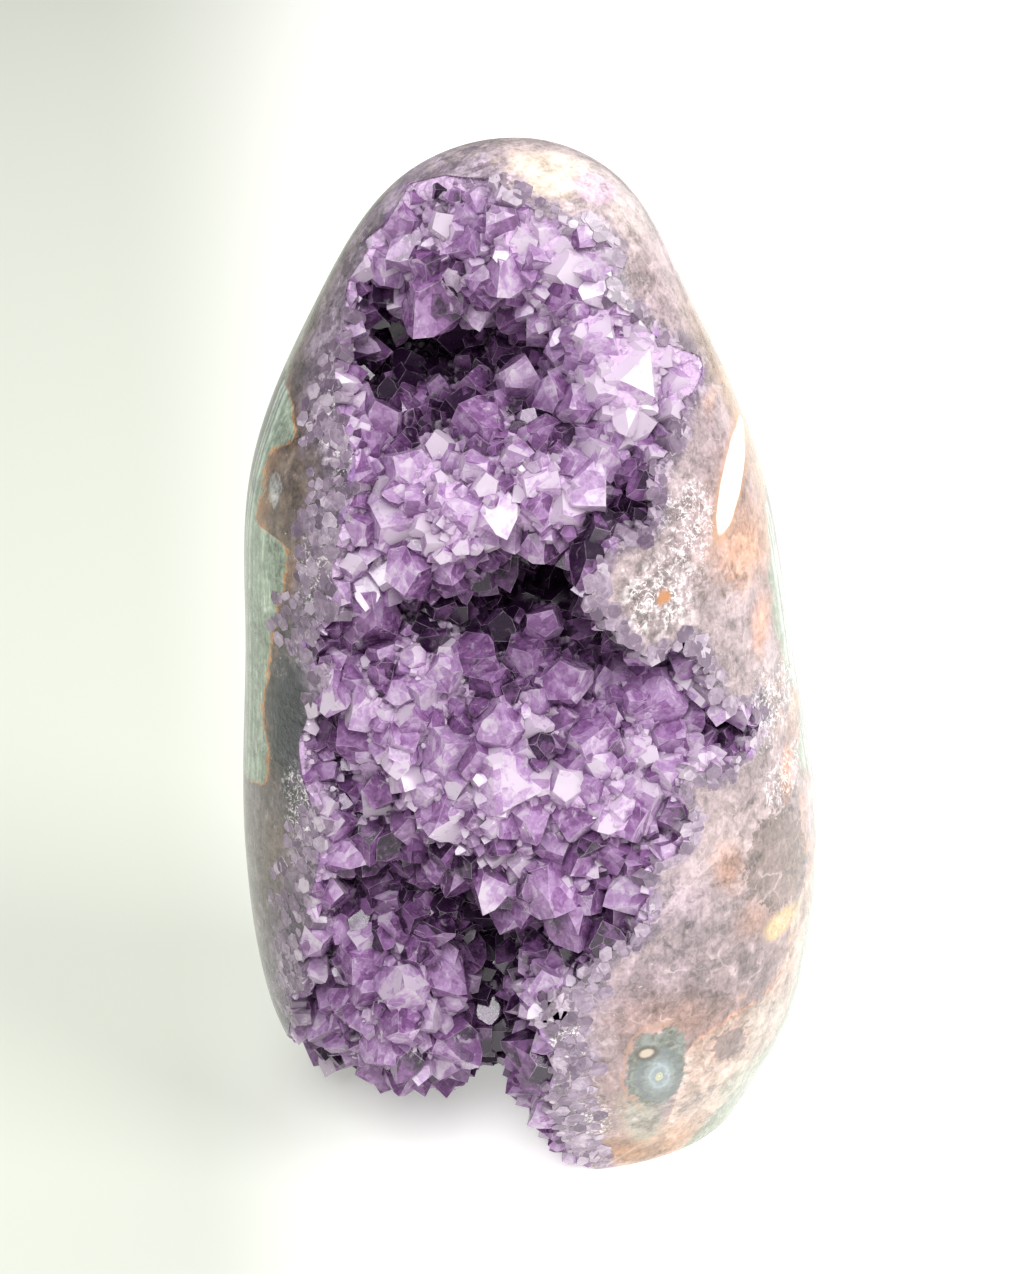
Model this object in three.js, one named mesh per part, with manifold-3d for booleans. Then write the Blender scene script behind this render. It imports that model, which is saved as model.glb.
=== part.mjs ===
// Amethyst geode on a flat cut base: an egg-shaped stone, ground and polished outside, whose open front
// is a pocket lined with one crust of amethyst points.
// Millimetres, +Z up, -Y towards the open front. The origin is the middle of the base, on the ground.
import * as THREE from "three";
import { mergeVertices } from "three/addons/utils/BufferGeometryUtils.js";
import Module from "manifold-3d";

const wasm = await Module();
wasm.setup();

// ---- driving dimensions ----

const HEIGHT = 150;

// Half-widths of the stone [left, right, front, back], from the flat base up to the tip.
// The rings stand at heights HEIGHT / 2 * (1 - cos(pi * k / 8)), as a sphere's do.
const RINGS = [
  [30, 32.5, 25, 26],
  [35, 36, 28.5, 29],
  [41.5, 42, 35, 34.5],
  [43.8, 43.8, 36, 36],
  [42.5, 38.8, 33, 33.5],
  [40.5, 33, 30, 30],
  [30.3, 22.1, 21, 21.5],
  [18.8, 12.2, 12.6, 12.6],
  [2.5, -2.5, 0, 0],
];
const ROUNDNESS = 2.2; // exponent of the rings' superellipse
const STONE_COLUMNS = 48;
const STONE_ROWS = 24;

// The pocket's rim seen from the front, as [x, z], clockwise from its top left.
const RIM = [
  [-22.5, 137.5], [-20, 141], [-16.5, 144.5], [-11.5, 147], [-6.5, 147.3], [-3.5, 145.3], [-0.5, 142.8],
  [3.5, 141.3], [7.5, 141], [10, 138], [10.6, 134], [11.5, 130.8], [15, 127.8], [20, 124],
  [22.8, 120.8], [20.5, 117], [19.5, 113], [16.5, 110], [16, 105], [14, 102], [9.5, 100.5],
  [8, 95], [10, 91], [15.5, 86], [20.5, 87], [23, 83], [26.5, 77], [31, 75], [31, 69],
  [27, 67], [21, 67], [21.5, 58], [17, 55], [15.5, 46.5], [9.5, 42.5], [5, 38], [0.5, 32],
  [4, 27], [2, 20], [4, 12], [6.5, 5], [8, -4], [-38, -4], [-38, 10], [-36.8, 21], [-34.4, 33],
  [-33.8, 40], [-32, 46], [-31, 52], [-30.5, 58], [-32, 65], [-33, 71], [-29.5, 79], [-31, 86],
  [-27.5, 92], [-26.5, 101], [-24, 112], [-27, 117], [-26.5, 124], [-25.3, 131],
];
const RIM_POINTS = 100;
const POCKET = { left: -38, right: 32, low: 1, high: 148 }; // what the rim encloses, above the ground
const RIM_RAMP = 5; // width of the slope inside the rim
const RIM_STEP = 0.15; // share of that slope which the rim itself cuts off

const POCKET_DEPTH = 10; // depth of the crust below the polished form, before what follows
const LEAST_DEPTH = 1.2;

// What lies deeper (+) or stands higher (-) than that: [x, z, half width, half height, depth].
const HOLLOWS_AND_LUMPS = [
  [-12, 121.5, 15, 6.5, 12], // upper cave
  [-23, 117.5, 5, 5, 5],
  [4.5, 91.5, 10, 6, 15], // middle cave
  [-13, 88.5, 14, 3.5, 4],
  [-29.5, 79, 3.5, 5, 4], // cleft at the left
  [17, 107, 4, 8, 5], // cleft at the right
  [14, 84, 9, 3.5, 5],
  [27, 71, 5, 4, 5],
  [-20.5, 48.5, 9, 4.5, 6], // lower cave
  [-6.5, 33, 7, 13, 14],
  [-5, 2, 5, 16, 17], // slot down to the base
  [-18, -6, 16, 13, 28], // under the left foot
  [11.5, 41.5, 3.5, 2.8, 12], // small hole
  [-10, 139, 14, 7, -6.5], // upper lip
  [8, 127, 8, 6, -5],
  [-13, 131, 8, 4, -3],
  [14.5, 121, 8, 6.5, -8.5], // pale lump at the upper right
  [-9, 107, 18, 8.5, -8], // middle shelf
  [6, 109, 7, 8, -3],
  [-20, 98, 8, 7, -4],
  [-23, 77, 7, 9, -6], // left lobe
  [-5, 66, 17, 12, -8], // lower shelf
  [15, 63, 8, 8, -6],
  [17.5, 78, 6.5, 5, -5],
  [3, 50, 11, 5, -5],
  [-20, 27, 13, 15, -5], // left foot
  [-30, 51, 5, 9, -6.5], // left flank
  [-12, 147, 10, 5, -4.5], // crown
  [4, 137, 8, 6, -5],
];

const CRUST_THICKNESS = 4.5;
const GAP = 0.5; // between the crust and the stone behind it, and under its lowest edge
const RELIEF_CELL = 6;
const BACK_CELL = 8;
const FRONT_PLANE = -60; // any plane clear in front of the stone
const MARGIN = 3; // by which the cutting blocks pass the pocket
const FINENESS = 0.2; // edges that change the form by less than this are merged away

// Amethyst points. The tip's slope is quartz's own.
const SIDES = 6;
const TIP_SLOPE = 1.25; // tip height over radius
const ROOT = 5; // how far a point reaches down into the crust
const SCATTER_TRIES = 300;
const SCATTER_RADIUS = [2.3, 3.5];
const SCATTER_COLLAR = [-0.4, 0.8]; // length of the six-sided shaft that shows
const SCATTER_STEEPNESS = 1.9; // slope at which the scatter is at its densest, seen from the front
const SCATTER_SPREAD = 0.31; // how far the scattered points lean either way
const FORWARD_PULL = 0.6; // how far all points turn from the lining's direction towards the front

// The largest points: [x, z, radius, shaft, lean to the right, lean upwards].
const LARGE_POINTS = [
  [-13.5, 130.5, 4.4, 0.3, 0.05, 0.25],
  [-9, 138, 3, 0.8, 0, -0.1],
  [-20, 134, 2.8, 1, 0.2, 0],
  [-4, 134.5, 3.1, 0.6, -0.1, -0.1],
  [13.5, 121.5, 5.6, 0.5, 0, 0.2],
  [9.5, 126.5, 4, 0.4, 0.2, 0.2],
  [19, 119.5, 4, 0.4, 0.2, 0],
  [-2, 118, 3.2, 2.4, 0.2, 0.7],
  [-20.5, 113.5, 3.3, 1.4, -0.3, 0.6],
  [3, 117, 2.8, 2.2, 0.1, 0.7],
  [-19, 103, 4.4, 0.8, -0.3, 0],
  [-16.5, 97, 3.6, 1.4, 0.1, -0.3],
  [-9, 105, 3.4, 0.8, 0, 0],
  [0, 106, 3.6, 0.8, 0.1, 0.2],
  [7.5, 107, 4.3, 1.4, 0.3, -0.5],
  [-23, 86, 4.3, 3, 0, 0.75],
  [-24, 75, 4.6, 1, -0.1, -0.3],
  [-8, 82, 4.2, 0.8, 0.1, 0.1],
  [0.5, 85, 2.7, 3.4, 0.5, 0.8],
  [4, 79.5, 3.4, 2.2, 0.1, 0.7],
  [17.5, 78.5, 4.6, 0.8, 0.1, 0],
  [18.5, 71, 3, 1.6, 0.1, 0.2],
  [8, 72, 3.5, 1.4, -0.2, 0.1],
  [-3, 67.5, 5.6, 2.2, 0.55, 0.1],
  [-12, 71, 4.6, 1.8, 0.1, 0.55],
  [-12.5, 61.5, 4.4, 1.2, -0.2, -0.2],
  [15.5, 64, 4.6, 1.6, -0.1, 0.2],
  [6, 62, 3.8, 1.2, 0, 0],
  [3, 50, 4.6, 1.6, 0.3, -0.4],
  [-6, 52, 3.6, 1, 0, -0.5],
  [-19, 33, 4.4, 2, 0.2, 0.5],
  [-25, 36, 3.4, 1, -0.2, 0.2],
  [-12.5, 22, 4, 1.6, 0.4, -0.2],
  [-22, 22, 3.8, 1.6, -0.1, 0.2],
  [-30, 22, 3.6, 1, -0.4, 0],
  [-22, 11, 3.2, 0.8, 0, -0.2],
  [-14, 12, 3, 0.6, 0.1, -0.1],
  [1.5, 30, 3, 0.8, -0.5, 0.3], // down the side of the right lobe
  [0.5, 24, 3.2, 0.6, -0.4, 0],
  [-0.5, 17, 3, 0.8, -0.5, 0.2],
  [1.2, 12, 2.6, 0.6, -0.3, 0],
  [-1.5, 7, 3, 0.6, -0.5, 0],
];

// ---- numbers that repeat in the same way each time ----

const PLASTIC_NUMBER = 1.324717957244746; // multiples of its inverse powers spread evenly over a plane

const fraction = (value) => value - Math.floor(value);
const chance = (index, channel) => fraction(Math.sin(index * 12.9898 + channel * 78.233) * 43758.5453);
const mix = (low, high, share) => low + (high - low) * share;
const smooth = (share) => {
  const t = Math.min(1, Math.max(0, share));
  return t * t * (3 - 2 * t);
};

// ---- the stone's outer form ----

// The ring at a share of the way from base to tip, by a spline through RINGS.
function ringAt(share) {
  const last = RINGS.length - 1;
  const place = Math.min(1, Math.max(0, share)) * last;
  const k = Math.min(last - 1, Math.floor(place));
  const t = place - k;
  return [0, 1, 2, 3].map((side) => {
    const from = RINGS[k][side];
    const to = RINGS[k + 1][side];
    const before = k > 0 ? RINGS[k - 1][side] : 2 * from - to;
    const after = k + 2 <= last ? RINGS[k + 2][side] : 2 * to - from;
    return 0.5 * (2 * from + (to - before) * t + (2 * before - 5 * from + 4 * to - after) * t * t
      + (3 * from - before - 3 * to + after) * t * t * t);
  });
}

const shareAtHeight = (z) => Math.acos(Math.min(1, Math.max(-1, 1 - (2 * z) / HEIGHT))) / Math.PI;

// The y of the polished form's front face, at a place seen from the front.
function frontFace(x, z) {
  const [left, right, front, back] = ringAt(shareAtHeight(z));
  const across = Math.min(1, Math.abs((x - (right - left) / 2) / Math.max(1e-6, (right + left) / 2)));
  const reach = (1 - across ** ROUNDNESS) ** (1 / ROUNDNESS);
  return (back - front) / 2 - ((back + front) / 2) * reach;
}

// A lathe of unit radius, each ring then drawn out to its own four half-widths.
function stoneForm() {
  const profile = [new THREE.Vector2(0, 0)];
  for (let row = 0; row < STONE_ROWS; row += 1) {
    profile.push(new THREE.Vector2(1, (HEIGHT / 2) * (1 - Math.cos((Math.PI * row) / STONE_ROWS))));
  }
  profile.push(new THREE.Vector2(0, HEIGHT));
  const form = new THREE.LatheGeometry(profile, STONE_COLUMNS);
  const points = form.attributes.position;
  for (let i = 0; i < points.count; i += 1) {
    const unit = new THREE.Vector2(points.getX(i), -points.getZ(i));
    const z = points.getY(i);
    const [left, right, front, back] = ringAt(shareAtHeight(z));
    const wide = Math.max(0, (right + left) / 2);
    const deep = Math.max(0, (back + front) / 2);
    const bulge = unit.length() > 0.5
      ? (Math.abs(unit.x) ** ROUNDNESS + Math.abs(unit.y) ** ROUNDNESS) ** (-1 / ROUNDNESS)
      : 0;
    unit.multiplyScalar(bulge);
    points.setXYZ(i, (right - left) / 2 + unit.x * wide, (back - front) / 2 + unit.y * deep, z);
  }
  return form;
}

// ---- the pocket ----

const rimKnots = RIM.map(([x, z]) => new THREE.Vector3(x, z, 0));
const rimCurve = new THREE.CatmullRomCurve3(rimKnots, true, "centripetal");
const rim = rimCurve.getSpacedPoints(RIM_POINTS).slice(0, RIM_POINTS);

function insideRim(x, z) {
  let inside = false;
  for (let i = 0, j = rim.length - 1; i < rim.length; j = i, i += 1) {
    const crosses = rim[i].y > z !== rim[j].y > z;
    if (crosses && x < ((rim[j].x - rim[i].x) * (z - rim[i].y)) / (rim[j].y - rim[i].y) + rim[i].x) {
      inside = !inside;
    }
  }
  return inside;
}

// Distance from the rim, positive inside it.
function rimDistance(x, z) {
  const place = new THREE.Vector3(x, z, 0);
  const nearest = new THREE.Vector3();
  const side = new THREE.Line3();
  let least = Infinity;
  for (let i = 0; i < rim.length; i += 1) {
    side.set(rim[i], rim[(i + 1) % rim.length]).closestPointToPoint(place, true, nearest);
    least = Math.min(least, nearest.distanceTo(place));
  }
  return insideRim(x, z) ? least : -least;
}

// Depth of the pocket's lining below the polished form, away from the rim.
function fullDepth(x, z) {
  let depth = POCKET_DEPTH;
  for (const [middleX, middleZ, wide, high, change] of HOLLOWS_AND_LUMPS) {
    depth += change * Math.exp(-(((x - middleX) / wide) ** 2) - ((z - middleZ) / high) ** 2);
  }
  return Math.max(LEAST_DEPTH, depth);
}

// How much of the full depth is reached at [x, z], rising inwards from the rim.
const ramp = (x, z) => smooth(rimDistance(x, z) / RIM_RAMP + RIM_STEP);

const liningFace = (x, z) => frontFace(x, z) + fullDepth(x, z) * ramp(x, z);
const bottomFace = (x, z) => frontFace(x, z) + fullDepth(x, z) + CRUST_THICKNESS;

// ---- solids ----

function solidOf(geometry) {
  const bare = geometry.clone();
  bare.deleteAttribute("normal");
  bare.deleteAttribute("uv");
  const merged = mergeVertices(bare, 1e-4);
  return new wasm.Manifold(new wasm.Mesh({
    numProp: 3,
    vertProperties: new Float32Array(merged.attributes.position.array),
    triVerts: new Uint32Array(merged.index.array),
  }));
}

function geometryOf(solid) {
  const mesh = solid.getMesh();
  const geometry = new THREE.BufferGeometry();
  geometry.setAttribute("position", new THREE.BufferAttribute(new Float32Array(mesh.vertProperties), 3));
  geometry.setIndex(new THREE.BufferAttribute(new Uint32Array(mesh.triVerts), 1));
  geometry.computeVertexNormals();
  return geometry;
}

const largestBody = (solid) => solid.decompose().sort((a, b) => b.volume() - a.volume())[0];

// Everything in front of a face y = face(x, z), as far as FRONT_PLANE.
function inFrontOf(face, cell) {
  const low = new THREE.Vector3(POCKET.left - MARGIN, FRONT_PLANE, POCKET.low - 2 * MARGIN);
  const high = new THREE.Vector3(POCKET.right + MARGIN, 0, POCKET.high + MARGIN);
  const size = high.clone().sub(low);
  const block = new THREE.BoxGeometry(
    size.x, size.y, size.z, Math.round(size.x / cell), 1, Math.round(size.z / cell));
  block.translate(low.x + size.x / 2, low.y + size.y / 2, low.z + size.z / 2);
  const points = block.attributes.position;
  for (let i = 0; i < points.count; i += 1) {
    if (points.getY(i) > FRONT_PLANE / 2) {
      points.setY(i, face(points.getX(i), points.getZ(i)));
    }
  }
  return solidOf(block);
}

// The rim drawn out front to back, its walls moved inwards by a clearance.
function rimPrism(clearance) {
  const outline = rim.map((point, i) => {
    const along = rim[(i + 1) % rim.length].clone().sub(rim[(i + rim.length - 1) % rim.length]).normalize();
    return new THREE.Vector2(point.x + along.y * clearance, point.y - along.x * clearance);
  });
  const prism = new THREE.ExtrudeGeometry(new THREE.Shape(outline), { depth: HEIGHT, bevelEnabled: false });
  prism.rotateX(Math.PI / 2);
  prism.translate(0, HEIGHT / 2, 0);
  return solidOf(prism);
}

function aboveGround(clearance) {
  const block = new THREE.BoxGeometry(HEIGHT, HEIGHT, HEIGHT);
  block.translate(0, 0, HEIGHT / 2 + clearance);
  return solidOf(block);
}

// ---- amethyst points ----

// The lining's outward direction at [x, z], the longer the steeper the lining is there.
function liningNormal(x, z) {
  const slopeX = (liningFace(x + 1, z) - liningFace(x - 1, z)) / 2;
  const slopeZ = (liningFace(x, z + 1) - liningFace(x, z - 1)) / 2;
  return new THREE.Vector3(slopeX, -1, slopeZ);
}

// A six-sided shaft with a six-sided tip, standing on the lining at [x, z].
function amethystPoint(x, z, radius, shaft, leanRight, leanUp, turn) {
  const lean = new THREE.Vector3(leanRight, -FORWARD_PULL, leanUp);
  const axis = liningNormal(x, z).normalize().add(lean).normalize();
  const point = new THREE.LatheGeometry([
    new THREE.Vector2(0, -ROOT),
    new THREE.Vector2(radius * 0.9, -ROOT),
    new THREE.Vector2(radius, shaft),
    new THREE.Vector2(0, shaft + radius * TIP_SLOPE),
  ], SIDES);
  point.rotateY(turn);
  point.applyQuaternion(new THREE.Quaternion().setFromUnitVectors(new THREE.Vector3(0, 1, 0), axis));
  point.translate(x, liningFace(x, z), z);
  return solidOf(point);
}

// An even scatter of smaller points between the large ones.
function scatteredPoints() {
  const made = [];
  for (let i = 1; i <= SCATTER_TRIES; i += 1) {
    const x = mix(POCKET.left, POCKET.right, fraction(i / PLASTIC_NUMBER));
    const z = mix(POCKET.low, POCKET.high, fraction(i / PLASTIC_NUMBER ** 2));
    const nearLarge = LARGE_POINTS.some(([px, pz, radius]) => Math.hypot(px - x, pz - z) < radius * 0.8);
    const wanted = chance(i, 7) < liningNormal(x, z).length() / SCATTER_STEEPNESS;
    if (rimDistance(x, z) > 0.8 && wanted && !nearLarge) {
      made.push(amethystPoint(
        x, z,
        mix(...SCATTER_RADIUS, chance(i, 1) ** 1.5),
        mix(...SCATTER_COLLAR, chance(i, 2)),
        mix(-SCATTER_SPREAD, SCATTER_SPREAD, chance(i, 3)),
        mix(-SCATTER_SPREAD, SCATTER_SPREAD, chance(i, 4)),
        chance(i, 5) * Math.PI,
      ));
    }
  }
  return made;
}

// ---- the two pieces ----

const stoneSolid = solidOf(stoneForm());

function buildStone() {
  const pocket = inFrontOf(bottomFace, BACK_CELL).intersect(rimPrism(0));
  return largestBody(stoneSolid.subtract(pocket).simplify(FINENESS));
}

function buildCrust() {
  const room = inFrontOf((x, z) => bottomFace(x, z) - GAP, BACK_CELL)
    .intersect(rimPrism(GAP))
    .intersect(aboveGround(GAP))
    .intersect(stoneSolid);
  const large = LARGE_POINTS.map((numbers, i) => amethystPoint(...numbers, chance(i, 6) * Math.PI));
  const points = wasm.Manifold.union([...large, ...scatteredPoints()]);
  const air = inFrontOf(liningFace, RELIEF_CELL).subtract(points);
  return largestBody(room.subtract(air).simplify(FINENESS));
}

function piece(name, solid, color, roughness) {
  const material = new THREE.MeshStandardMaterial({ color, roughness, metalness: 0, flatShading: true });
  const mesh = new THREE.Mesh(geometryOf(solid), material);
  mesh.name = name;
  return mesh;
}

const geode = new THREE.Group();
geode.add(piece("stone", buildStone(), 0xa39690, 0.2));
geode.add(piece("crystal_crust", buildCrust(), 0x7a55a6, 0.15));

export default geode;
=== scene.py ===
"""Dresses a polished amethyst geode: its agate and quartz stone, the crust of amethyst points in its pocket,
and a plain studio round it."""
import logging
import math
from dataclasses import dataclass, field
from enum import Enum
from typing import Any, Callable, Iterable, Sequence

import bpy
import numpy as np
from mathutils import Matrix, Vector


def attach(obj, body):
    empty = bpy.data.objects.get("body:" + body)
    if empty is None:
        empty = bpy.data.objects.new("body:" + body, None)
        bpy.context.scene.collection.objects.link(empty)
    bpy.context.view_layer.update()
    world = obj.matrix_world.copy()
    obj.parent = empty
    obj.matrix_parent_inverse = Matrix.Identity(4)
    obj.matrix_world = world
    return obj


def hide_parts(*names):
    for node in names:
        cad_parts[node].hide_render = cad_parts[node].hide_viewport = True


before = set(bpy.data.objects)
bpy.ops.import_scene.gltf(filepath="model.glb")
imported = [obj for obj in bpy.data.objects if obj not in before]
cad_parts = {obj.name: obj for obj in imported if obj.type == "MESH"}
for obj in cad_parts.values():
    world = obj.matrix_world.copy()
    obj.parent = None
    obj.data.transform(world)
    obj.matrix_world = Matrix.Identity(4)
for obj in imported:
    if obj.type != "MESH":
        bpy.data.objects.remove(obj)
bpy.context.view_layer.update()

log = logging.getLogger("geode")

MM = 0.001
QUARTZ_IOR = 1.54
POCKET_MIDDLE = (-3.0, 71.5)
POCKET_HALF = (39.0, 75.0)
Array = np.ndarray
Colour = tuple[float, float, float]
Faces = list[tuple[int, ...]]


# ---------------------------------------------------------------- forms


def spline(before: Array, start: Array, end: Array, after: Array, t: Array) -> Array:
    """Gives the smooth curve through four knots, at a share t between the middle two."""
    return 0.5 * (2 * start + (end - before) * t + (2 * before - 5 * start + 4 * end - after) * t**2
                  + (3 * start - before - 3 * end + after) * t**3)


def smooth(share: Array) -> Array:
    """Eases a share from 0 to 1."""
    t = np.clip(share, 0, 1)
    return t * t * (3 - 2 * t)


def unit(vector: Array) -> Array:
    """Gives a vector's direction, one long."""
    return vector / np.linalg.norm(vector)


def inward_of(ring: Array) -> Array:
    """Gives the inward direction at each place [x, z] of a closed ring.

    Args:
        ring: the places, one row each.

    Returns:
        Unit directions, one row each.
    """
    tangent = np.roll(ring, -1, 0) - np.roll(ring, 1, 0)
    tangent /= np.linalg.norm(tangent, axis=1)[:, None]
    return np.stack([tangent[:, 1], -tangent[:, 0]], 1)


@dataclass(frozen=True)
class StoneForm:
    """The polished outer form: superelliptic rings from a flat base up to a tip, in millimetres."""

    height: float = 150.0
    roundness: float = 2.2
    inset: float = 0.12
    rings: tuple[tuple[float, float, float, float], ...] = (
        (30, 32.5, 25, 26), (35, 36, 28.5, 29), (41.5, 42, 35, 34.5), (43.8, 43.8, 36, 36),
        (42.5, 38.8, 33, 33.5), (40.5, 33, 30, 30), (30.3, 22.1, 21, 21.5), (18.8, 12.2, 12.6, 12.6),
        (2.5, -2.5, 0, 0),
    )

    def ring(self, z: Array) -> tuple[Array, Array, Array, Array]:
        """Gives the ring at a height.

        Args:
            z: heights above the base.

        Returns:
            The ring's middle and half-width along X, and its middle and half-width along Y.
        """
        table = np.array(self.rings, float)
        last = len(table) - 1
        place = np.arccos(np.clip(1 - 2 * np.asarray(z, float) / self.height, -1, 1)) / math.pi * last
        k = np.minimum(place.astype(int), last - 1)
        t = (place - k)[..., None]
        start, end = table[k], table[k + 1]
        before = np.where((k > 0)[..., None], table[np.maximum(k - 1, 0)], 2 * start - end)
        after = np.where((k < last - 1)[..., None], table[np.minimum(k + 2, last)], 2 * end - start)
        left, right, front, back = np.moveaxis(spline(before, start, end, after, t), -1, 0)
        wide = np.maximum((right + left) / 2 - self.inset, 1e-3)
        deep = np.maximum((back + front) / 2 - self.inset, 1e-3)
        return (right - left) / 2, wide, (back - front) / 2, deep

    def front(self, x: Array, z: Array) -> Array:
        """Gives the Y of the front face at places seen from the front.

        Args:
            x: places across, in millimetres.
            z: heights above the base, in millimetres.

        Returns:
            The front face's Y at each place.
        """
        middle_x, wide, middle_y, deep = self.ring(z)
        across = np.minimum(1, np.abs((x - middle_x) / wide))
        return middle_y - deep * (1 - across**self.roundness) ** (1 / self.roundness)

    def excess(self, points: Array) -> Array:
        """Gives how far points stand outside the form, as a share of its half-width; inside is negative.

        Args:
            points: places, one row each.

        Returns:
            The excess of each place.
        """
        middle_x, wide, middle_y, deep = self.ring(points[:, 2])
        across = np.abs((points[:, 0] - middle_x) / wide) ** self.roundness
        along = np.abs((points[:, 1] - middle_y) / deep) ** self.roundness
        return (across + along) ** (1 / self.roundness) - 1

    def outward(self, points: Array) -> tuple[Array, Array]:
        """Gives the form's outward direction next to points, and their distance outside it.

        Args:
            points: places near the surface, one row each.

        Returns:
            Unit directions, one row each, and signed distances in millimetres.
        """
        step = 0.05
        here = self.excess(points)
        slopes = []
        for axis in np.eye(3) * step:
            slopes.append((self.excess(points + axis) - self.excess(points - axis)) / (2 * step))
        gradient = np.stack(slopes, -1)
        length = np.maximum(np.linalg.norm(gradient, axis=1), 1e-6)
        return gradient / length[:, None], here / length


def ripple(x: Array, z: Array, size: float, seed: int) -> Array:
    """Gives a smooth irregular wave over the plane.

    Args:
        x: places across.
        z: places upwards.
        size: the lumps' usual size.
        seed: which of the many waves.

    Returns:
        Values of about -1 to 1.
    """
    rng = np.random.default_rng(seed)
    total = np.zeros(np.broadcast(x, z).shape)
    waves = 7
    for _ in range(waves):
        turn, phase = rng.uniform(0, 2 * math.pi), rng.uniform(0, 2 * math.pi)
        stretch = rng.uniform(0.7, 1.5)
        along = (x * math.cos(turn) + z * math.sin(turn)) * math.pi / (size * stretch)
        total += np.sin(along + phase)
    return total / math.sqrt(waves)


@dataclass(frozen=True)
class Pocket:
    """The open pocket in the stone's front: its rim, and how deep its lining lies, in millimetres."""

    form: StoneForm = StoneForm()
    depth: float = 10.0
    least_depth: float = 1.2
    ramp_width: float = 5.0
    ramp_step: float = 0.15
    scallop: float = 0.9
    lobe_length: float = 4.1
    lobe_bias: float = 0.55
    drift: float = 0.9
    drift_length: float = 7.3
    rim_knots: tuple[tuple[float, float], ...] = (
        (-22.5, 137.5), (-20, 141), (-16.5, 144.5), (-11.5, 147), (-6.5, 147.3), (-3.5, 145.3), (-0.5, 142.8),
        (3.5, 141.3), (7.5, 141), (10, 138), (10.6, 134), (11.5, 130.8), (15, 127.8), (20, 124),
        (22.8, 120.8), (20.5, 117), (19.5, 113), (16.5, 110), (16, 105), (14, 102), (9.5, 100.5),
        (8, 95), (10, 91), (15.5, 86), (20.5, 87), (23, 83), (26.5, 77), (31, 75), (31, 69),
        (27, 67), (21, 67), (21.5, 58), (17, 55), (15.5, 46.5), (9.5, 42.5), (5, 38), (0.5, 32),
        (4, 27), (2, 20), (4, 12), (6.5, 5), (8, -4), (-38, -4), (-38, 10), (-36.8, 21), (-34.4, 33),
        (-33.8, 40), (-32, 46), (-31, 52), (-30.5, 58), (-32, 65), (-33, 71), (-29.5, 79), (-31, 86),
        (-27.5, 92), (-26.5, 101), (-24, 112), (-27, 117), (-26.5, 124), (-25.3, 131),
    )
    hollows_and_lumps: tuple[tuple[float, float, float, float, float], ...] = (
        (-12, 121.5, 15, 6.5, 12), (-23, 117.5, 5, 5, 5), (4.5, 91.5, 10, 6, 15), (-13, 88.5, 14, 3.5, 4),
        (-29.5, 79, 3.5, 5, 4), (17, 107, 4, 8, 5), (14, 84, 9, 3.5, 5), (27, 71, 5, 4, 5),
        (-20.5, 48.5, 9, 4.5, 6), (-6.5, 33, 7, 13, 14), (-5, 2, 5, 16, 17), (-18, -6, 16, 13, 28),
        (11.5, 41.5, 3.5, 2.8, 12), (-10, 139, 14, 7, -6.5), (8, 127, 8, 6, -5), (-13, 131, 8, 4, -3),
        (14.5, 121, 8, 6.5, -8.5), (-9, 107, 18, 8.5, -8), (6, 109, 7, 8, -3), (-20, 98, 8, 7, -4),
        (-23, 77, 7, 9, -6), (-5, 66, 17, 12, -8), (15, 63, 8, 8, -6), (17.5, 78, 6.5, 5, -5),
        (3, 50, 11, 5, -5), (-20, 27, 13, 15, -5), (-30, 51, 5, 9, -6.5), (-12, 147, 10, 5, -4.5),
        (4, 137, 8, 6, -5),
    )

    def rim(self, per_side: int = 10) -> Array:
        """Gives the rim as a closed ring of places [x, z], scalloped where the quartz lobes end.

        Args:
            per_side: how many places lie between two knots.

        Returns:
            The places, one row each.
        """
        knots = np.array(self.rim_knots, float)
        before, start = np.roll(knots, 1, 0)[:, None], knots[:, None]
        end, after = np.roll(knots, -1, 0)[:, None], np.roll(knots, -2, 0)[:, None]
        t = (np.arange(per_side) / per_side)[None, :, None]
        ring = spline(before, start, end, after, t).reshape(-1, 2)
        steps = np.linalg.norm(np.roll(ring, -1, 0) - ring, axis=1)
        walked = np.concatenate([[0], np.cumsum(steps)[:-1]])
        wave = walked / self.lobe_length + self.drift * np.sin(walked / self.drift_length)
        lobes = np.abs(np.sin(wave)) - self.lobe_bias
        return ring + inward_of(ring) * (self.scallop * lobes)[:, None]

    def rim_distance(self, x: Array, z: Array) -> Array:
        """Gives the distance from the rim, seen from the front; inside the pocket it is positive.

        Args:
            x: places across, in millimetres.
            z: heights above the base, in millimetres.

        Returns:
            The distances in millimetres, in the shape of x.
        """
        ring = self.rim()
        flat = np.stack([np.ravel(x), np.ravel(z)], 1)
        least = np.full(len(flat), np.inf)
        crossings = np.zeros(len(flat), int)
        for a, b in zip(ring, np.roll(ring, -1, 0)):
            side = b - a
            share = np.clip((flat - a) @ side / max(side @ side, 1e-9), 0, 1)
            least = np.minimum(least, np.linalg.norm(flat - a - share[:, None] * side, axis=1))
            spans = (a[1] > flat[:, 1]) != (b[1] > flat[:, 1])
            rise = side[1] if abs(side[1]) > 1e-9 else 1e-9
            crossings += spans & (flat[:, 0] < side[0] * (flat[:, 1] - a[1]) / rise + a[0])
        return np.where(crossings % 2 == 1, least, -least).reshape(np.shape(x))

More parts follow.
